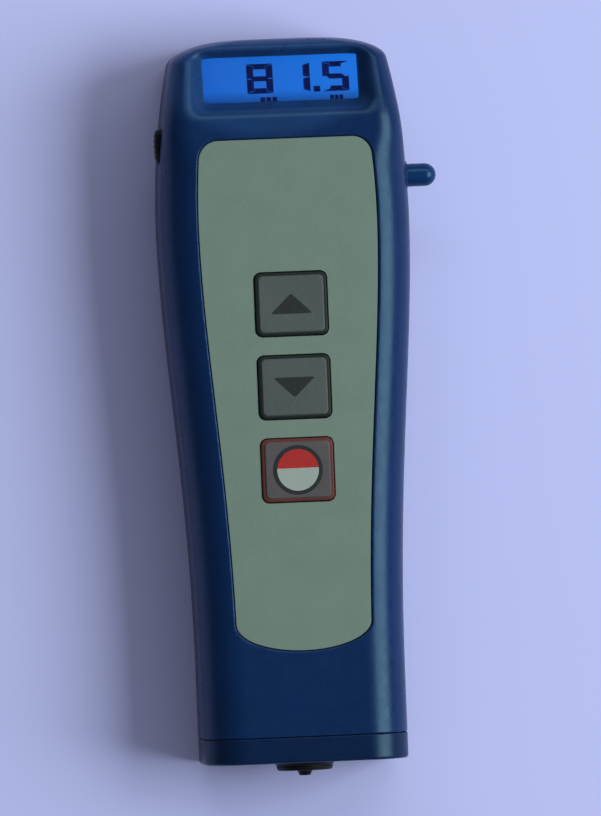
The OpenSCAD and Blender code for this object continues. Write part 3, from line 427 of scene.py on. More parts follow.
# Case blue, the front shell's own finish: dark dyed plastic with a cool gloss.
# On the head and round the display funnel it is painted paler, a painted light that stands for fill light
# falling there.
BLUE_SHEEN = (0.46, 0.86, 1.0, 1.0)
CASE_BLUE = plastic("case blue", tone(13, 39, 82), tone(34, 66, 108), 0.25, 0.3, 0.5, 0.26, BLUE_SHEEN)
# Painted light: an oval patch over the head, the brow and the funnel walls is lifted paler, as if more light
# fell there.
HEAD_LIGHT_AT, HEAD_LIGHT_REACH, HEAD_LIGHT_LIFT = (-0.003, 0.029, 0.022), (0.023, 0.013, 0.03), (2.4, 2.0, 1.6)
tree = CASE_BLUE.node_tree
shader = tree.nodes["Principled BSDF"]
skin_colour = shader.inputs["Base Color"].links[0].from_socket
where = add(tree, "TexCoord", {}).outputs["Object"]
from_head_light = vectors(tree, "DIVIDE", vectors(tree, "SUBTRACT", where, HEAD_LIGHT_AT), HEAD_LIGHT_REACH)
away = add(tree, "VectorMath", {0: from_head_light}, operation="LENGTH").outputs["Value"]
patchy = remap(tree, noise(tree, where, 120, 3.0), 0.3, 0.7, 0.85, 1)
painted_light_share = maths(tree, "MULTIPLY", remap(tree, away, 0.8, 1.0, 1, 0), patchy)
# The paler colour mixed in here is painted light, with a patchy edge.
paler = vectors(tree, "MULTIPLY", skin_colour, HEAD_LIGHT_LIFT)
feed(tree, shader.inputs["Base Color"], blended(tree, painted_light_share, skin_colour, paler))
make_moulding(
    "front_shell_skin", front_field,
    places((-27, -18.8, 0.55), (-18.8, -12.6, 0.26), (-12.6, 12.6, 0.9), (12.6, 18.8, 0.26),
           (18.8, 23.6, 0.5), (23.6, 26.2, 0.2), (26.2, 27, 0.4)),
    places((-104.6, -103, 0.2), (-103, -88, 0.9), (-88, -79, 0.36), (-79, 5, 1.0), (5, 12, 0.26),
           (12, 38, 0.34)),
    places((9.75, 10.55, 0.1), (10.55, 15.75, 0.26), (15.75, 17, 0.5), (17, 27, 0.36)),
    CASE_BLUE, "case", "front_shell",
)

# Rear shell: the lower half of the case, moulded in the same blue, with the battery bay and its door recess.
# Four screws sit in deep round pockets, and a shallow scoop lets a thumb lift the door.
SCREW_PLACES = [(s * x, y) for s in (-1, 1) for x, y in ((18.6, SHOULDER_Y), (15.1, -90.0))]
BAY_Y, BAY_END_Y, BAY_HALF, BAY_WALL = -79.0, -29.0, 11.1, 1.2
BAY_TOP, BAY_ROOF = 12.9, 14.1
HINGE_Y, HINGE_Z, HINGE_HOLE_R, HINGE_HOLE_X = -80.0, 1.0, 0.55, 14.5
BACK_EDGE_R, BACK_THICK, BACK_SOLID_Z = 4.0, 2.6, 1.3
BOSS_R, HEAD_POCKET_R, HEAD_POCKET_Z, SHANK_HOLE_R = 3.7, 2.4, 4.8, 1.45
SEAT_HALF, SEAT_LOW_Y, SEAT_TOP_Y, SEAT_Z = 18.3, -83.0, -25.0, 3.9
RECESS_HALF, RECESS_LOW_Y, RECESS_TOP_Y, RECESS_Z = 13.1, -81.2, -26.8, 2.0
DOOR_TOP_Y, SCOOP_R, SCOOP_FLAT, SCOOP_Z = -27.0, 4.5, 4.2, 0.25


def thumb_scoop(x, y, z):
    """A shallow dish at the free end of the battery door, half in the door and half in the shell."""
    return np.hypot(np.hypot(x, y - DOOR_TOP_Y), SCOOP_FLAT * (z + SCOOP_Z)) - SCOOP_R


def rear_field(x, y, z):
    body = corner_box(x, -z, half_width(y, 0), -BACK_EDGE_R * end_share(y, 0), BACK_EDGE_R)
    body = round_max(body, y - HEAD_Y, HEAD_EDGE)
    body = round_max(body, z - PARTING_Z, SEAM_ROUND)
    body = round_max(body, SEAM_Y - y, SEAM_ROUND)
    hollow = corner_box(x, -z, half_width(y, WALL), -(BACK_THICK + 3 * end_share(y, WALL)), 2.0)
    body = np.maximum(body, -np.maximum(hollow, y - HEAD_Y + WALL))
    tray = plain_box(x, y, BAY_HALF + BAY_WALL, BAY_Y - BAY_WALL, BAY_END_Y + BAY_WALL)
    tray = np.maximum(tray, np.maximum(BACK_SOLID_Z - z, z - BAY_ROOF))
    seat = plain_box(x, y, SEAT_HALF, SEAT_LOW_Y, SEAT_TOP_Y)
    seat = np.maximum(seat, np.maximum(BACK_SOLID_Z - z, z - SEAT_Z))
    body = np.minimum(body, np.minimum(tray, seat))
    for cx, cy in SCREW_PLACES:
        boss = np.hypot(x - cx, y - cy)
        body = np.minimum(body, np.maximum(boss - BOSS_R, np.maximum(BACK_SOLID_Z - z, z - PARTING_Z)))
        body = round_max(body, -np.maximum(boss - HEAD_POCKET_R, z - HEAD_POCKET_Z), 0.3)
        body = np.maximum(body, -(boss - SHANK_HOLE_R))
    body = np.maximum(body, -np.maximum(plain_box(x, y, BAY_HALF, BAY_Y, BAY_END_Y), z - BAY_TOP))
    recess = round_max(plain_box(x, y, RECESS_HALF, RECESS_LOW_Y, RECESS_TOP_Y), z - RECESS_Z, 0.1)
    body = round_max(body, -recess, 0.25)
    pin_hole = np.hypot(y - HINGE_Y, z - HINGE_Z) - HINGE_HOLE_R
    body = np.maximum(body, -np.maximum(pin_hole, np.abs(x) - HINGE_HOLE_X))
    return round_max(body, -thumb_scoop(x, y, z), 0.3)


REAR_BLUE = plastic("rear blue", tone(12, 36, 74), tone(34, 62, 102), 0.3, 0.33, 0.6, 0.26, BLUE_SHEEN)
make_moulding(
    "rear_shell_skin", rear_field,
    places((-27, -16, 0.45), (-16, -11, 0.4), (-11, 11, 0.75), (11, 16, 0.4), (16, 27, 0.45)),
    places((-104.6, -103, 0.2), (-103, -94, 0.8), (-94, -86, 0.5), (-86, -82, 0.6), (-82, -78, 0.3),
           (-78, -32, 0.85), (-32, -22, 0.45), (-22, -4, 0.8), (-4, 4, 0.5), (4, 31, 0.8), (31, 38, 0.45)),
    places((-0.6, 2.8, 0.3), (2.8, 9.4, 0.66), (9.4, 10.3, 0.1), (10.3, 14.8, 0.75)),
    REAR_BLUE, "case", "rear_shell",
)

# End cap: a moulded blue piece that closes the foot, darker than the case, chamfered round its bottom edge.
# Its rim plugs into the shells, two small screws hold it, and the probe stands in its middle.
PROBE_Z, PROBE_HOLE_R = CASE_D / 2, 5.15
CAP_SCREW_X, CAP_SCREW_Z, CAP_POCKET_R, CAP_SHANK_R = 13.6, 16.5, 2.0, 1.15
CHAMFER, RIM_OUT, RIM_IN, RIM_UP = 0.35, 2.95, 4.35, 1.8


def foot_distance(x, z, inset):
    front = corner_box(x, z, FOOT_HALF - inset, CASE_D - inset, FRONT_EDGE_R - inset)
    back = corner_box(x, -z, FOOT_HALF - inset, -inset, max(BACK_EDGE_R - inset, 0.6))
    return np.where(z > CASE_D / 2, front, back)


def cap_field(x, y, z):
    outline = foot_distance(x, z, 0)
    body = round_max(outline, (outline + FOOT_Y + CHAMFER - y) * 0.707, 0.2)
    body = round_max(round_max(body, FOOT_Y - y, 0.2), y - SEAM_Y + 0.1, SEAM_ROUND)
    rim = np.maximum(foot_distance(x, z, RIM_OUT), np.maximum(FOOT_Y + 2 - y, y - SEAM_Y - RIM_UP))
    body = np.minimum(body, rim)
    body = np.maximum(body, -np.maximum(foot_distance(x, z, RIM_IN), FOOT_Y + 2.4 - y))
    body = np.maximum(body, -(np.hypot(x, z - PROBE_Z) - PROBE_HOLE_R))
    for side in (-1, 1):
        from_screw = np.hypot(x - side * CAP_SCREW_X, z - CAP_SCREW_Z)
        body = round_max(body, -np.maximum(from_screw - CAP_POCKET_R, y - FOOT_Y - 1.3), 0.2)
        body = np.maximum(body, -np.maximum(from_screw - CAP_SHANK_R, y - FOOT_Y - 3.5))
    return body


CAP_BLUE = plastic("cap blue", tone(9, 29, 65), tone(30, 54, 92), 0.25, 0.32, 0.5, 0.26, BLUE_SHEEN)
make_moulding(
    "end_cap_skin", cap_field,
    places((-22.2, 22.2, 0.42)),
    places((-109.6, -107.8, 0.2), (-107.8, -104.2, 0.6), (-104.2, -103, 0.2), (-103, -101.6, 0.42)),
    places((-1, 27, 0.42)),
    CAP_BLUE, "case", "end_cap",
)

# Key panel: a grey-green printed plastic plate, cut with square windows for the keys.
# It is glued into the recess and bare apart from the keys, with a fine matte speckle
# and edges that are broken slightly.
printed_speckle, given, made, where = new_group(
    "printed speckle", ("Colour", "Fleck colour", "Flecks", "Gloss"), ("Colour", "Roughness", "Height")
)
tree = printed_speckle
fleck = noise(tree, where, 1500, 3.0, 0.7)
mottle = noise(tree, where, 150, 3.0)
tinted = scaled(tree, given["Colour"], remap(tree, mottle, 0.3, 0.7, 0.97, 1.03))
flecks = maths(tree, "MULTIPLY", remap(tree, fleck, 0.52, 0.72, 0, 1), given["Flecks"])
feed(tree, made["Colour"], blended(tree, flecks, tinted, given["Fleck colour"]))
dull = remap(tree, mottle, 0.3, 0.7, -0.05, 0.05)
feed(tree, made["Roughness"], maths(tree, "ADD", given["Gloss"], dull))
feed(tree, made["Height"], fleck)


def printed(name, colour, fleck_colour, flecks=0.35, gloss=0.55, specular=0.4, relief=0.00003):
    values = {"Colour": colour, "Fleck colour": fleck_colour, "Flecks": flecks, "Gloss": gloss}
    finish, shader = effect_finish(name, printed_speckle, values, relief, 0.5)
    shader.inputs["Specular IOR Level"].default_value = specular
    return finish


def rounded_outline(width, height, r, steps=8):
    """Points round a rectangle with rounded corners, from the right end of its top right corner."""
    found = []
    for i, (sx, sy) in enumerate(((1, 1), (-1, 1), (-1, -1), (1, -1))):
        for k in range(steps + 1):
            a = math.radians(90 * i + 90 * k / steps)
            found.append((sx * (width / 2 - r) + r * math.cos(a), sy * (height / 2 - r) + r * math.sin(a)))
    return np.array(found)


def inset_outline(outline, amount):
    """Moves a closed outline, drawn counter-clockwise, inwards by that amount."""
    ahead, behind = np.roll(outline, -1, 0) - outline, outline - np.roll(outline, 1, 0)
    ahead /= np.linalg.norm(ahead, axis=1, keepdims=True)
    behind /= np.linalg.norm(behind, axis=1, keepdims=True)
    way = ahead + behind
    way /= np.linalg.norm(way, axis=1, keepdims=True)
    inward = np.stack([-way[:, 1], way[:, 0]], 1)
    stretch = 1 / np.maximum((inward * np.stack([-ahead[:, 1], ahead[:, 0]], 1)).sum(1), 0.5)
    return outline + inward * (amount * stretch)[:, None]


def within(at, outline):
    """True where a line from the point crosses the outline an odd number of times."""
    x, y = outline.T
    next_x, next_y = np.roll(x, -1), np.roll(y, -1)
    level = (y > at[1]) != (next_y > at[1])
    cross = x + (at[1] - y) / np.where(level, next_y - y, 1) * (next_x - x)
    return np.count_nonzero(level & (cross > at[0])) % 2 == 1


def plate(outer, holes, low, high, broken):
    """A flat plate with windows and broken top edges: points and faces."""
    points, faces = [], []
    loops = [(outer, 1)] + [(h, -1) for h in holes]
    levels = [(0, low), (0, high - broken), (broken * 0.3, high - broken * 0.3), (broken, high)]
    starts = {}
    for n, (loop, way) in enumerate(loops):
        for m, (amount, level) in enumerate(levels):
            starts[n, m] = len(points)
            ring = inset_outline(loop, amount * way)
            points += [(p[0], p[1], level) for p in ring]
        size = len(loop)
        for m in range(len(levels) - 1):
            a, b = starts[n, m], starts[n, m + 1]
            for k in range(size):
                quad = [a + k, a + (k + 1) % size, b + (k + 1) % size, b + k]
                faces.append(quad if way > 0 else quad[::-1])
    for m, upward in ((len(levels) - 1, True), (0, False)):
        flat, edges, back = [], [], []
        for n, (loop, _) in enumerate(loops):
            first, size = len(flat), len(loop)
            flat += [Vector(points[starts[n, m] + k][:2]) for k in range(size)]
            back += [starts[n, m] + k for k in range(size)]
            edges += [(first + k, first + (k + 1) % size) for k in range(size)]
        verts, _, tris, originals, _, _ = delaunay_2d_cdt(flat, edges, [], 1, 1e-6)
        where_from = [back[o[0]] for o in originals]
        for tri in tris:
            centre = sum((verts[i] for i in tri), Vector((0, 0))) / 3
            if any(within(centre, hole) for hole in holes):
                continue
            face = [where_from[i] for i in tri]
            faces.append(face if upward else face[::-1])
    return points, faces


def panel_outline():
    arc_steps, side_steps, corner_steps = 24, 60, 12
    corner_y = PANEL_TOP_Y - PANEL_CORNER
    quarter = math.pi / 2
    ys = [PANEL_LOW_Y + PANEL_ARC * (1 - math.cos(quarter * i / arc_steps)) for i in range(1, arc_steps)]
    ys += list(np.linspace(PANEL_LOW_Y + PANEL_ARC, corner_y, side_steps))
    ys += [corner_y + PANEL_CORNER * math.sin(quarter * i / corner_steps) for i in range(1, corner_steps + 1)]
    right = []
    for y in ys:
        half = float(side_line(np.array(y))) - PANEL_BORDER
        deep = max(PANEL_LOW_Y + PANEL_ARC - y, 0) / PANEL_ARC
        high = max(y - corner_y, 0) / PANEL_CORNER
        cut = PANEL_CORNER * (1 - math.sqrt(max(0, 1 - high * high)))
        right.append((half * math.sqrt(1 - deep * deep) - cut, y))
    return np.array([(0, PANEL_LOW_Y)] + right + [(-x, y) for x, y in right[::-1]])


PANEL_Z, PANEL_T, PANEL_BROKEN = 25.0, 0.6, 0.12
KEY_W, KEY_H, KEY_R, KEY_GAP = 14.5, 12.7, 1.3, 0.2
PANEL_GREY = printed("panel grey-green", tone(109, 130, 119), tone(126, 144, 132), 0.3, 0.6, 0.2)
window = rounded_outline(KEY_W + 2 * KEY_GAP, KEY_H + 2 * KEY_GAP, KEY_R + KEY_GAP)
windows = [window + (0, y) for y in KEY_YS]
points, faces = plate(panel_outline(), windows, PANEL_Z, PANEL_Z + PANEL_T, PANEL_BROKEN)
make_piece("key_panel_plate", points, faces, [PANEL_GREY], "case", ["key_panel"])

# Keys: three moulded rubber keys that come up through the panel, each with a painted rim and a raised face.
# A flange under the front wall keeps them in. The hidden post from each to its switch isn't drawn here.
KEY_FACE_Z, KEY_RIM, KEY_STEP = 26.2, 0.7, 0.25
FLANGE_Z, FLANGE_T, FLANGE_OUT = 22.0, 1.0, 1.0


def stack(rings):
    """Joins outlines of equal length, each at its own level, into one closed solid: points, faces, bands."""
    size = len(rings[0][0])
    points = [(p[0], p[1], level) for outline, level in rings for p in outline]
    faces, bands = [], []
    for m in range(len(rings) - 1):
        low, high = m * size, (m + 1) * size
        for k in range(size):
            n = (k + 1) % size
            faces.append([low + k, low + n, high + n, high + k])
            bands.append(m)
    faces.append(list(range(size))[::-1])
    faces.append([(len(rings) - 1) * size + k for k in range(size)])
    return points, faces, bands + [0, len(rings) - 2]


def key_rings():
    """A key's outlines from its flange to its face, and the band where its painted rim ends."""
    def ring(inset):
        return rounded_outline(KEY_W - 2 * inset, KEY_H - 2 * inset, max(KEY_R - inset * 0.6, 0.5))

    rim_z = KEY_FACE_Z - KEY_STEP
    levels = [
        (-FLANGE_OUT, FLANGE_Z), (-FLANGE_OUT, FLANGE_Z + FLANGE_T), (0, FLANGE_Z + FLANGE_T),
        (0, rim_z - 0.3), (0.03, rim_z - 0.17), (0.12, rim_z - 0.05), (0.27, rim_z), (KEY_RIM - 0.08, rim_z),
    ]
    rim_end = len(levels) - 1
    levels += [
        (KEY_RIM, rim_z + 0.02), (KEY_RIM + 0.04, KEY_FACE_Z - 0.1), (KEY_RIM + 0.12, KEY_FACE_Z - 0.02),
        (KEY_RIM + 0.28, KEY_FACE_Z), (2.4, KEY_FACE_Z - 0.02), (4.2, KEY_FACE_Z - 0.03),
    ]
    return [(ring(inset), level) for inset, level in levels], rim_end


def slabs(outlines, low, high, cx=0.0, cy=0.0):
    """Thin printed shapes, each an outline raised from low to high, as one mesh."""
    points, faces = [], []
    for outline in outlines:
        outline = np.asarray(outline, float)
        x, y = outline.T
        if np.sum(x * np.roll(y, -1) - y * np.roll(x, -1)) < 0:
            outline = outline[::-1]
        first, size = len(points), len(outline)
        points += [(x + cx, y + cy, level) for level in (low, high) for x, y in outline]
        bottom, top = [first + k for k in range(size)], [first + size + k for k in range(size)]
        faces += [[bottom[k - 1], bottom[k], top[k], top[k - 1]] for k in list(range(1, size)) + [0]]
        faces += [bottom[::-1], top]
    return points, faces


def arc_points(r, from_deg, to_deg, steps):
    turns = [math.radians(a) for a in np.linspace(from_deg, to_deg, steps)]
    return [(r * math.cos(a), r * math.sin(a)) for a in turns]


KEY_GREY = plastic("key grey", tone(76, 86, 84), tone(104, 114, 112), 0.3, 0.62, 0.9, 0.2)
POWER_GREY = plastic("power key grey", tone(81, 79, 81), tone(110, 108, 110), 0.3, 0.62, 0.9, 0.2)
RIM_DARK = plastic("dark rim paint", tone(22, 33, 30), tone(50, 62, 58), 0.4, 0.5, 0.5, 0.2)
RIM_RED = plastic("red rim paint", tone(92, 46, 42), tone(122, 80, 72), 0.4, 0.5, 0.5, 0.2)
INK_DARK = printed("dark ink", tone(30, 36, 38), tone(58, 66, 66), 0.3, 0.5, 0.3)
INK_RED = printed("red ink", tone(164, 40, 38), tone(182, 70, 62), 0.25, 0.5, 0.25)
INK_WHITE = printed("white ink", tone(150, 163, 156), tone(172, 182, 176), 0.25, 0.5, 0.25)
INK_LOW, INK_HIGH = KEY_FACE_Z - 0.06, KEY_FACE_Z + 0.03
DISC_R, DISC_RING_R, FLANGE_BANDS = 4.2, 5.0, 2
arrow_up = [
    (-4.0, -1.75), (-3.85, -1.95), (3.85, -1.95), (4.0, -1.75), (0.25, 1.85), (0, 1.95), (-0.25, 1.85)
]
ring_parts = [
    arc_points(DISC_RING_R, a, a + 30, 7) + arc_points(DISC_R, a + 30, a, 7) for a in range(0, 360, 30)
]
marks = {
    "up": [("arrow", INK_DARK, [arrow_up])],
    "down": [("arrow", INK_DARK, [[(x, -y) for x, y in arrow_up]])],
    "power": [
        ("ring", INK_DARK, ring_parts),
        ("red_half", INK_RED, [arc_points(DISC_R, 5, 175, 40)]),
        ("white_half", INK_WHITE, [arc_points(DISC_R, 175, 365, 40)]),
    ],
}
rings, rim_end = key_rings()
for i, name in enumerate(("up", "down", "power")):
    points, faces, bands = stack([(outline + (0, KEY_YS[i]), level) for outline, level in rings])
    body = "key_" + name
    power = name == "power"
    band = [1 if FLANGE_BANDS <= b < rim_end else 0 for b in bands]
    make_piece(
        body + "_cap", points, faces, [POWER_GREY if power else KEY_GREY, RIM_RED if power else RIM_DARK],
        body, [body], band,
    )
    for mark, ink, outlines in marks[name]:
        points, faces = slabs(outlines, INK_LOW, INK_HIGH, 0, KEY_YS[i])
        make_piece(body + "_" + mark, points, faces, [ink], body)

# Display: a blue back-lit number display at the bottom of the funnel in the sloped head.
# Dark bars of liquid crystal show the reading, and a clear moulded window lies over them.
GLASS_W, GLASS_H, GLASS_R, GLASS_SHIFT = 35.3, 11.7, 0.4, -0.5
LIT_HALF = 0.0156


def on_head(points):
    """Points given as across, along the slope and depth below its face, in the part's frame."""
    across, along, depth = np.asarray(points, float).T
    return np.stack([
        across,
        VIEW_Y + along * math.cos(HEAD_SLOPE) - depth * math.sin(HEAD_SLOPE),
        VIEW_Z - along * math.sin(HEAD_SLOPE) - depth * math.cos(HEAD_SLOPE),
    ], 1)


LIT_BLUE, tree, shader = new_finish("lit display")
where = add(tree, "TexCoord", {}).outputs["Object"]
split = add(tree, "SeparateXYZ", {0: where})
across = remap(tree, split.outputs[0], -LIT_HALF, LIT_HALF, 0, 1)
glow = blended(tree, across, tone(22, 98, 205), tone(24, 128, 244))
uneven = remap(tree, noise(tree, where, 60, 1.0), 0.35, 0.65, 0, 0.5)
glow = blended(tree, uneven, glow, tone(40, 118, 222))
lit_along = remap(tree, split.outputs[1], (VIEW_Y - 5.2) * 0.001, (VIEW_Y - 3.2) * 0.001, 0.55, 1)
feed(tree, shader.inputs["Emission Color"], scaled(tree, glow, lit_along))
feed(tree, shader.inputs["Base Color"], scaled(tree, glow, 0.05))
shader.inputs["Emission Strength"].default_value = 0.85
shader.inputs["Specular IOR Level"].default_value = 0.05
shader.inputs["Roughness"].default_value = 0.4
glass_rings = [
    (rounded_outline(GLASS_W - 2 * e, GLASS_H - 2 * e, GLASS_R) + (0, GLASS_SHIFT), depth)
    for e, depth in ((0, 6.8), (0, 5.05), (0.12, 4.93), (0.3, 4.9))
]
points, faces, _ = stack(glass_rings)
make_piece("lcd_glass_lit", on_head(points), faces, [LIT_BLUE], "case", ["lcd_glass"])

BAR_HALF, BAR_HIGH, BAR_T, BAR_MIDDLE = 2.65, 3.15, 1.4, 0.53
inner = BAR_HALF - BAR_T
upper_right = [
    (BAR_HALF, BAR_HIGH - 0.14), (inner, BAR_HIGH - 0.6), (inner, 0.33), (inner + 0.5, 0.12), (BAR_HALF, 0.05)
]
top_right = [
    (BAR_HALF - 0.1, BAR_HIGH), (BAR_HALF - 0.1, BAR_HIGH - 0.08),
    (inner - 0.05, BAR_HIGH - 0.54), (inner - 0.05, BAR_HIGH - 1.14),
]
bar_top = top_right + [(-x, y) for x, y in top_right[::-1]]
bar_middle = [
    (-inner - 0.6, 0), (-inner + 0.05, BAR_MIDDLE), (inner - 0.05, BAR_MIDDLE),
    (inner + 0.6, 0), (inner - 0.05, -BAR_MIDDLE), (-inner + 0.05, -BAR_MIDDLE),
]


def mirrored(outline, sx, sy):
    return [(x * sx, y * sy) for x, y in outline]


def oblong(low_x, low_y, high_x, high_y):
    return [(low_x, low_y), (high_x, low_y), (high_x, high_y), (low_x, high_y)]


bars = {
    "a": bar_top, "b": upper_right, "c": mirrored(upper_right, 1, -1), "d": mirrored(bar_top, 1, -1),
    "e": mirrored(upper_right, -1, -1), "f": mirrored(upper_right, -1, 1), "g": bar_middle,
}
reading = [("abcdefg", -4.0), ("bc", 3.5), ("acdfg", 11.35)]
DIGITS_UP, MARK_LOW, MARK_HIGH = 0.55, -4.4, -3.4
outlines = [[(x + cx, y + DIGITS_UP) for x, y in bars[bar]] for lit, cx in reading for bar in lit]
outlines.append(oblong(6.75, -2.6, 8.1, -1.4))
for cx, wide in ((-2.3, 3.6), (11.4, 2.8)):
    for k in range(3):
        at = cx - wide / 2 + wide * k / 3
        outlines.append(oblong(at, MARK_LOW, at + wide * 0.27, MARK_HIGH))
LCD_INK = printed("display bars", tone(0, 22, 92), tone(4, 34, 112), 0.4, 0.4, 0.05, 0.00001)
points, faces = slabs(outlines, 4.92, 4.86)
make_piece("lcd_reading", on_head(points), faces, [LCD_INK], "case")

CLEAR, tree, shader = new_finish("clear window")
shader.inputs["Transmission Weight"].default_value = 1.0
shader.inputs["IOR"].default_value = 1.22
smear = noise(tree, add(tree, "TexCoord", {}).outputs["Object"], 160, 4.0, 0.7)
feed(tree, shader.inputs["Roughness"], remap(tree, smear, 0.4, 0.7, 0.02, 0.09))
smeared = remap(tree, smear, 0.4, 0.7, 0, 0.3)
feed(tree, shader.inputs["Base Color"], blended(tree, smeared, tone(246, 249, 255), tone(228, 236, 250)))
CLEAR_W, CLEAR_H, CLEAR_R = 33.3, 11.5, 1.0
window_rings = [
    (rounded_outline(CLEAR_W - 2 * e, CLEAR_H - 2 * e, CLEAR_R), depth)
    for e, depth in ((0, 4.8), (0, 3.72), (0.05, 3.64), (0.15, 3.6))
]
points, faces, _ = stack(window_rings)
make_piece("lcd_window_clear", on_head(points), faces, [CLEAR], "case", ["lcd_window"])

# Side button: a turned and polished blue plastic plunger with a round end, in a collar on the right side.
# A flange behind the wall stops it, and it pushes a switch under the board.
BUTTON_R, BUTTON_POST_R, BUTTON_OUT = 4.65 / 2, 1.3, 6.4
TURN_STEPS = 56


def turned(profile, at, along, side):
    """Turns a profile of (radius, height) about the line at + height * along: points and faces."""
    at, along, side = (np.array(v, float) for v in (at, along, side))
    other = np.cross(along, side)
    angles = np.linspace(0, 2 * math.pi, TURN_STEPS, endpoint=False)
    points, rows = [], []
    for r, h in profile:
        if r < 1e-9:
            rows.append([len(points)])
            points.append(at + along * h)
        else:
            rows.append(list(range(len(points), len(points) + TURN_STEPS)))
            points += [at + along * h + r * (math.cos(a) * side + math.sin(a) * other) for a in angles]
    faces = []
    for low, high in zip(rows, rows[1:]):
        for k in range(TURN_STEPS):
            n = (k + 1) % TURN_STEPS
            corners = [low[k % len(low)], low[n % len(low)], high[n % len(high)], high[k % len(high)]]
            face = list(dict.fromkeys(corners))
            if len(face) > 2:
                faces.append(face)
    return points, faces


reach = BUTTON_WALL_X + BUTTON_OUT
profile = [
    (0, BUTTON_WALL_X - 5.4), (BUTTON_POST_R, BUTTON_WALL_X - 5.4), (BUTTON_POST_R, BUTTON_WALL_X - 3.6),
    (BUTTON_R + 1, BUTTON_WALL_X - 3.6), (BUTTON_R + 1, BUTTON_WALL_X - 2.65),
    (BUTTON_R, BUTTON_WALL_X - 2.65), (BUTTON_R, reach - BUTTON_R),
]
for a in range(6, 90, 6):
    rise = BUTTON_R * math.sin(math.radians(a))
    profile.append((BUTTON_R * math.cos(math.radians(a)), reach - BUTTON_R + rise))
points, faces = turned(profile + [(0, reach)], (0, BUTTON_Y, SIDE_Z), (1, 0, 0), (0, 1, 0))
BUTTON_BLUE = plastic("button blue", tone(12, 48, 94), tone(44, 80, 128), 0.3, 0.26, 0.15, 0.3, BLUE_SHEEN)
make_piece("side_button_plunger", points, faces, [BUTTON_BLUE], "side_button", ["side_button"])

# Side key: a small black ribbed key on the left side, moulded in hard rubber with a slightly crowned top.
# It comes out through a slot in the wall, and a flange inside the wall holds it in.
# A post on the flange reaches in to its switch.
RUBBER_HALF_LONG, RUBBER_HALF_HIGH = 3.35, 2.1
FLANGE_HALF_LONG, FLANGE_HALF_HIGH = 4.35, 3.1
RIB_HIGH, RIB_PITCH, CROWN = 0.06, 1.12, 0.02
POST_R, POST_END = 1.3, 16.0
key_wall_x = float(side_line(np.array(SIDE_KEY_Y)))
flange_wall_x = float(side_line(np.array(SIDE_KEY_Y + FLANGE_HALF_LONG)))
KEY_OUT = key_wall_x + 1.1
KEY_SEAT = key_wall_x - 2.2 - (key_wall_x - flange_wall_x)


def side_key_field(x, y, z):
    out, along, up = -x, y - SIDE_KEY_Y, z - SIDE_Z
    body = round_max(np.abs(along) - RUBBER_HALF_LONG, np.abs(up) - RUBBER_HALF_HIGH, 1.0)
    ribs = RIB_HIGH * np.cos(along * 2 * math.pi / RIB_PITCH)
    body = round_max(body, out - KEY_OUT + RIB_HIGH + CROWN * along ** 2 - ribs, 0.7)
    body = np.maximum(body, KEY_SEAT - out - 0.5)
    flange = round_max(np.abs(along) - FLANGE_HALF_LONG, np.abs(up) - FLANGE_HALF_HIGH, 1.0)
    flange = np.maximum(flange, np.maximum(out - KEY_SEAT, KEY_SEAT - 1 - out))
    post = np.maximum(np.hypot(along, up) - POST_R, np.maximum(out - KEY_SEAT, POST_END - out))
    return np.minimum(np.minimum(body, flange), post)


BLACK = plastic("black rubber", tone(13, 14, 17), tone(40, 42, 46), 0.4, 0.5, 0.8, 0.25)
make_moulding(
    "side_key_black", side_key_field,
    -places((15.6, KEY_SEAT - 1.3, 0.3), (KEY_SEAT - 1.3, KEY_OUT + 0.4, 0.13))[::-1],
    places((SIDE_KEY_Y - 4.8, SIDE_KEY_Y + 4.8, 0.12)),
    places((SIDE_Z - 3.5, SIDE_Z + 3.5, 0.16)),
    BLACK, "side_key", "side_key",
)

# Probe: a black turned sleeve held in the end cap by a nut inside, with a sprung pole tip in its mouth.
# The tip is blackened steel, turned to a blunt cone where it meets the work.
metal_sheen, given, made, where = new_group(
    "metal sheen", ("Colour", "Dull colour", "Gloss"), ("Colour", "Roughness", "Height")
)
tree = metal_sheen
drawn = noise(tree, where, 900, 4.0, 0.6)
tarnish = remap(tree, noise(tree, where, 260, 3.0), 0.4, 0.7, 0, 0.7)
feed(tree, made["Colour"], blended(tree, tarnish, given["Colour"], given["Dull colour"]))
dull = remap(tree, drawn, 0.3, 0.7, -0.08, 0.1)
feed(tree, made["Roughness"], maths(tree, "ADD", given["Gloss"], dull))
feed(tree, made["Height"], drawn)


def metal(name, colour, dull, gloss=0.32):
    values = {"Colour": colour, "Dull colour": dull, "Gloss": gloss}
    finish, shader = effect_finish(name, metal_sheen, values, 0.00002, 0.4)
    shader.inputs["Metallic"].default_value = 1.0
    return finish


SLEEVE_Y = FOOT_Y - 1.8
sleeve = [
    (1.75, 0.25), (2.0, 0), (5.3, 0), (5.48, 0.06), (5.58, 0.22), (5.72, 0.75), (5.6, 0.85), (5.62, 1.0),
    (5.8, 1.1), (6.15, 1.7), (6.2, 1.8), (5.1, 1.8), (5.1, 26.2), (3.7, 26.2), (3.7, 1.6), (1.75, 1.6),
    (1.75, 0.25),
]
points, faces = turned(sleeve, (0, SLEEVE_Y, PROBE_Z), (0, 1, 0), (1, 0, 0))
make_piece("probe_sleeve_turned", points, faces, [BLACK], "case", ["probe_sleeve"])
TIP_STEEL = metal("blackened steel", tone(52, 54, 58), tone(30, 31, 34), 0.38)
tip = [
    (0, -1.1), (0.95, -1.1), (1.12, -1.05), (1.2, -0.93), (1.58, -0.06), (1.6, 0.05), (1.6, 1.65),
    (1.2, 1.65), (1.2, 13.65), (0, 13.65),
]
points, faces = turned(tip, (0, SLEEVE_Y, PROBE_Z), (0, 1, 0), (1, 0, 0))
make_piece("probe_core_tip", points, faces, [TIP_STEEL], "probe", ["probe_core"])

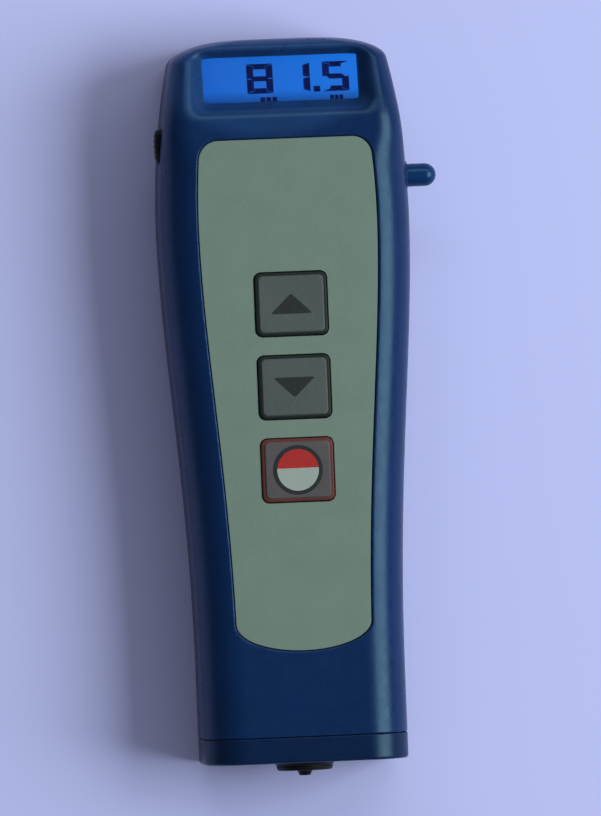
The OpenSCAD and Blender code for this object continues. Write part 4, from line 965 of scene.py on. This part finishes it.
# Screws: zinc plated pan-head screws with a cross recess, pressed from wire.
# Four hold the two shells together from the back, and two hold the end cap.
ZINC = metal("zinc plate", tone(168, 170, 172), tone(128, 130, 134), 0.3)
SCREW_SEAT_Z, CAP_SCREW_IN = 3.2, 0.1


def cross_outline(length, width, steps=64):
    found = []
    for a in np.linspace(0, 2 * math.pi, steps, endpoint=False):
        c, s = max(abs(math.cos(a)), 1e-6), max(abs(math.sin(a)), 1e-6)
        r = max(min(length / c, width / s), min(width / c, length / s))
        found.append((r * math.cos(a), r * math.sin(a)))
    return np.array(found)


def screw(head_r, head_h, shank_r, length):
    """A pan-head screw with its drive at level 0 and its shank going up."""
    square = cross_outline(1, 1)
    circle = square / np.linalg.norm(square, axis=1, keepdims=True)
    rings = [(circle * r, level) for r, level in (
        (shank_r, length), (shank_r, head_h), (head_r, head_h), (head_r, head_h * 0.35),
    )]
    rings += [(circle * head_r * 0.93, head_h * 0.12), (circle * head_r * 0.75, 0)]
    rings += [(cross_outline(head_r * long, head_r * wide), head_h * level) for long, wide, level in (
        (0.6, 0.17, 0), (0.5, 0.14, 0.55), (0.2, 0.1, 0.75),
    )]
    points, faces, _ = stack(rings)
    return np.array(points), faces


def gathered(copies, shape):
    """Several moved copies of one mesh as one mesh."""
    points, faces = [], []
    for moved in copies:
        first = len(points)
        points += list(map(tuple, moved))
        faces += [[first + i for i in face] for face in shape]
    return points, faces


pin, pin_faces = screw(2.2, 1.6, 1.25, 13)
points, faces = gathered([pin + (cx, cy, SCREW_SEAT_Z) for cx, cy in SCREW_PLACES], pin_faces)
make_piece("case_screws_zinc", points, faces, [ZINC], "case", ["case_screws"])
pin, pin_faces = screw(1.8, 1.2, 0.95, 10.8)
upright = np.stack([pin[:, 0], FOOT_Y + CAP_SCREW_IN + pin[:, 2], pin[:, 1] + CAP_SCREW_Z], 1)
points, faces = gathered([upright + (s * CAP_SCREW_X, 0, 0) for s in (-1, 1)], pin_faces)
make_piece("cap_screws_zinc", points, faces, [ZINC], "case", ["cap_screws"])

# Battery door: a flat moulded door that turns on two stub pins at its foot end, with ribs for the thumb.
# Behind it lie two small round cells with printed sleeves and plated ends.
DOOR_HALF, DOOR_HALF_T, DOOR_PIN_R, DOOR_PIN_X = 12.9, 0.8, 0.5, 14.3
GROOVE_Y, GROOVE_PITCH, GROOVE_HALF, GROOVE_R, GROOVE_Z = -35.0, 2, 4.5, 0.55, 0.2


def door_field(x, y, z):
    from_hinge = np.hypot(y - HINGE_Y, z - HINGE_Z)
    roll = np.maximum(from_hinge - DOOR_HALF_T, np.abs(x) - DOOR_HALF)
    outline = round_max(np.abs(x) - DOOR_HALF, y - DOOR_TOP_Y, 0.8)
    body = round_max(outline, np.maximum(np.abs(z - HINGE_Z) - DOOR_HALF_T, HINGE_Y - y), 0.2)
    body = np.minimum(body, roll)
    body = np.minimum(body, np.maximum(from_hinge - DOOR_PIN_R, np.abs(x) - DOOR_PIN_X))
    body = round_max(body, -thumb_scoop(x, y, z), 0.3)
    for i in range(4):
        from_groove = np.hypot(y - GROOVE_Y + GROOVE_PITCH * i, z - GROOVE_Z)
        body = round_max(body, -np.maximum(np.abs(x) - GROOVE_HALF, from_groove - GROOVE_R), 0.2)
    return body


make_moulding(
    "battery_door_leaf", door_field,
    places((-15, -12, 0.25), (-12, 12, 0.6), (12, 15, 0.25)),
    places((-81.4, -78.6, 0.22), (-78.6, -43, 0.9), (-43, -32, 0.22), (-32, -26.2, 0.35)),
    places((-0.2, 2.2, 0.2)),
    REAR_BLUE, "battery_door", "battery_door",
)

CELL_WRAP = printed("cell sleeve", tone(196, 150, 44), tone(214, 172, 74), 0.3, 0.3, 0.5, 0.00001)
CELL_DARK = printed("cell band", tone(34, 35, 40), tone(60, 62, 66), 0.3, 0.3, 0.5, 0.00001)
NICKEL = metal("nickel plate", tone(196, 195, 190), tone(160, 158, 152), 0.22)
CELL_X, CELL_Z, CONTACT_ROOM = 5.4, 7.35, 5.1
cell = [
    (0, 0), (4.3, 0), (4.6, 0.12), (4.75, 0.3), (5.1, 0.3), (5.25, 0.5), (5.25, 32), (5.25, 43.0),
    (5.1, 43.3), (4.5, 43.45), (4.2, 43.7), (2.0, 43.7), (2.0, 44.3), (1.8, 44.5), (0, 44.5),
]
for name, side, start, way in (
    ("battery_left", -1, BAY_Y + CONTACT_ROOM, 1), ("battery_right", 1, BAY_END_Y - CONTACT_ROOM, -1)
):
    points, faces = turned(cell, (side * CELL_X, start, CELL_Z), (0, way, 0), (1, 0, 0))
    rows = [k // TURN_STEPS for k in range(len(faces))]
    bands = [2 if r < 4 else 0 if r < 6 else 1 if r < 8 else 2 for r in rows]
    finishes = [CELL_WRAP, CELL_DARK, NICKEL]
    make_piece(name + "_cell", points, faces, finishes, "case", [name], bands)

# Probe spring: a coil of plated spring wire behind the probe's winding, with its last turn against the plug.
# Only its ends are held, so on the gauge it shortens towards the plug by as much as the probe is pushed in;
# here it is drawn as one fixed coil that rides with the case.
WIRE_R, COILS, COIL_STEPS, WIRE_SIDES = 0.25, 6, 30, 10
spring_low, spring_high = (np.array(corner) * 1000 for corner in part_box("probe_spring"))
spring_long = spring_high[1] - spring_low[1]
coil_r = (spring_high[0] - spring_low[0]) / 2 - WIRE_R
points, faces = [], []
for i in range(COILS * COIL_STEPS + 1):
    a = 2 * math.pi * i / COIL_STEPS
    height = spring_low[1] + WIRE_R + (spring_long - 2 * WIRE_R) * i / (COILS * COIL_STEPS)
    for k in range(WIRE_SIDES):
        b = 2 * math.pi * k / WIRE_SIDES
        r = coil_r + WIRE_R * math.cos(b)
        points.append((r * math.cos(a), height + WIRE_R * math.sin(b), SIDE_Z + r * math.sin(a)))
for first in range(0, COILS * COIL_STEPS * WIRE_SIDES, WIRE_SIDES):
    for k in range(WIRE_SIDES):
        n = (k + 1) % WIRE_SIDES
        faces.append([first + k, first + n, first + WIRE_SIDES + n, first + WIRE_SIDES + k])
faces += [list(range(WIRE_SIDES)), list(range(len(points) - WIRE_SIDES, len(points)))]
spring = make_piece("probe_spring_coil", points, faces, [NICKEL], "case", ["probe_spring"])
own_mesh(spring)

# Inside the case: board, switches, display parts, contacts and probe winding keep their solids.
# Each takes the finish of its own stuff, and little of it shows until the case is opened.
BOARD_GREEN = printed("solder resist", tone(24, 92, 50), tone(60, 128, 76), 0.5, 0.3, 0.5, 0.00002)
CHIP_BLACK = printed("chip moulding", tone(26, 27, 29), tone(48, 50, 52), 0.3, 0.55, 0.4, 0.00001)
CREAM = plastic("cream moulding", tone(224, 219, 204), tone(238, 234, 224), 0.3, 0.45, 0.3)
MILKY = plastic("light guide", tone(218, 228, 240), tone(236, 242, 248), 0.2, 0.25, 0.1)
AMBER = printed("amber film", tone(200, 140, 52), tone(214, 164, 88), 0.3, 0.25, 0.5, 0.00001)
BRASS = metal("turned brass", tone(196, 162, 88), tone(164, 130, 66), 0.28)
COPPER = metal("enamelled wire", tone(188, 104, 58), tone(150, 78, 42), 0.35)
inside = {
    BOARD_GREEN: ["main_board"],
    CHIP_BLACK: ["processor_chip", "amplifier_chip", "buzzer", "probe_plug"],
    BLACK: ["key_switches", "up_plunger", "down_plunger", "power_plunger", "button_plunger", "button_switch",
            "side_key_plunger", "side_key_switch", "lcd_holder", "probe_lead"],
    CREAM: ["probe_socket", "probe_bobbin"],
    MILKY: ["lcd_backlight"],
    AMBER: ["lcd_ribbon"],
    ZINC: ["board_screws", "crystal_can", "board_capacitors"],
    NICKEL: ["battery_plates", "battery_springs"],
    BRASS: ["probe_nut"],
    COPPER: ["probe_coil"],
}
for finish, nodes in inside.items():
    for name in nodes:
        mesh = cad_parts[name].data
        mesh.materials.clear()
        mesh.materials.append(finish)

# Floor, light and camera: a pale table top under a dim even sky, with two soft lamps.
# One lamp stands on the right and draws the bright stripe there, and a wide one stands beyond the head.
# The camera looks down at the gauge from a little to its left, as it was photographed.
TABLE_R, TABLE_STEPS = 2.5, 96
TABLE_TOP, tree, shader = new_finish("pale table")
cloud = noise(tree, add(tree, "TexCoord", {}).outputs["Object"], 5.0, 2.0)
feed(tree, shader.inputs["Base Color"], blended(tree, cloud, tone(190, 197, 246), tone(194, 200, 248)))
shader.inputs["Roughness"].default_value = 0.8
shader.inputs["Specular IOR Level"].default_value = 0.1
mesh = bpy.data.meshes.new("table_top")
turns = np.linspace(0, 2 * math.pi, TABLE_STEPS, endpoint=False)
ring = [(TABLE_R * math.cos(a), TABLE_R * math.sin(a), 0) for a in turns]
mesh.from_pydata(ring, [], [list(range(TABLE_STEPS))])
mesh.materials.append(TABLE_TOP)
table_top = bpy.data.objects.new("table_top", mesh)
bpy.context.scene.collection.objects.link(table_top)

world = bpy.context.scene.world or bpy.data.worlds.new("studio")
bpy.context.scene.world = world
world.use_nodes = True
sky = world.node_tree.nodes["Background"]
sky.inputs["Color"].default_value = tone(222, 228, 242)
sky.inputs["Strength"].default_value = 0.17


def lamp(name, place, aim, width, height, watts, colour):
    data = bpy.data.lights.new(name, "AREA")
    data.shape, data.size, data.size_y = "RECTANGLE", width, height
    data.energy, data.color = watts, colour
    made = bpy.data.objects.new(name, data)
    made.location = place
    made.rotation_mode = "QUATERNION"
    made.rotation_quaternion = (aim - place).to_track_quat("-Z", "Y")
    bpy.context.scene.collection.objects.link(made)


middle = Vector((0, (FOOT_Y + HEAD_Y) / 2 * 0.001, 0.013))
lamp("right_softbox", middle + Vector((1.13, 0.0, 0.98)), middle, 0.95, 0.95, 22.0, (0.94, 0.98, 1.0))
lamp("head_softbox", middle + Vector((0.3, 1.34, 1.2)), middle, 2.6, 0.5, 13.0, (1.0, 0.98, 0.95))

scene = bpy.context.scene
scene.view_settings.view_transform = "Standard"
YAW, ROLL, DISTANCE, VIEW_TALL, SENSOR = math.radians(4.6), math.radians(2.3), 2.2, 0.165, 36
aim = Vector((2.05, -37.7, 13.0)) * 0.001
back = Vector((-math.sin(YAW), 0, math.cos(YAW)))
right = Vector((math.cos(YAW), 0, math.sin(YAW)))
up = Vector((0, 1, 0))
lens_right = right * math.cos(ROLL) + up * -math.sin(ROLL)
lens_up = up * math.cos(ROLL) + right * math.sin(ROLL)
camera_data = bpy.data.cameras.new("camera")
camera = bpy.data.objects.new("camera", camera_data)
facing = Matrix((lens_right, lens_up, back)).transposed().to_4x4()
camera.matrix_world = Matrix.Translation(aim + back * DISTANCE) @ facing
camera_data.sensor_width = SENSOR
camera_data.lens = SENSOR * DISTANCE / VIEW_TALL
camera_data.clip_start, camera_data.clip_end = 0.01, 20
scene.collection.objects.link(camera)
scene.camera = camera
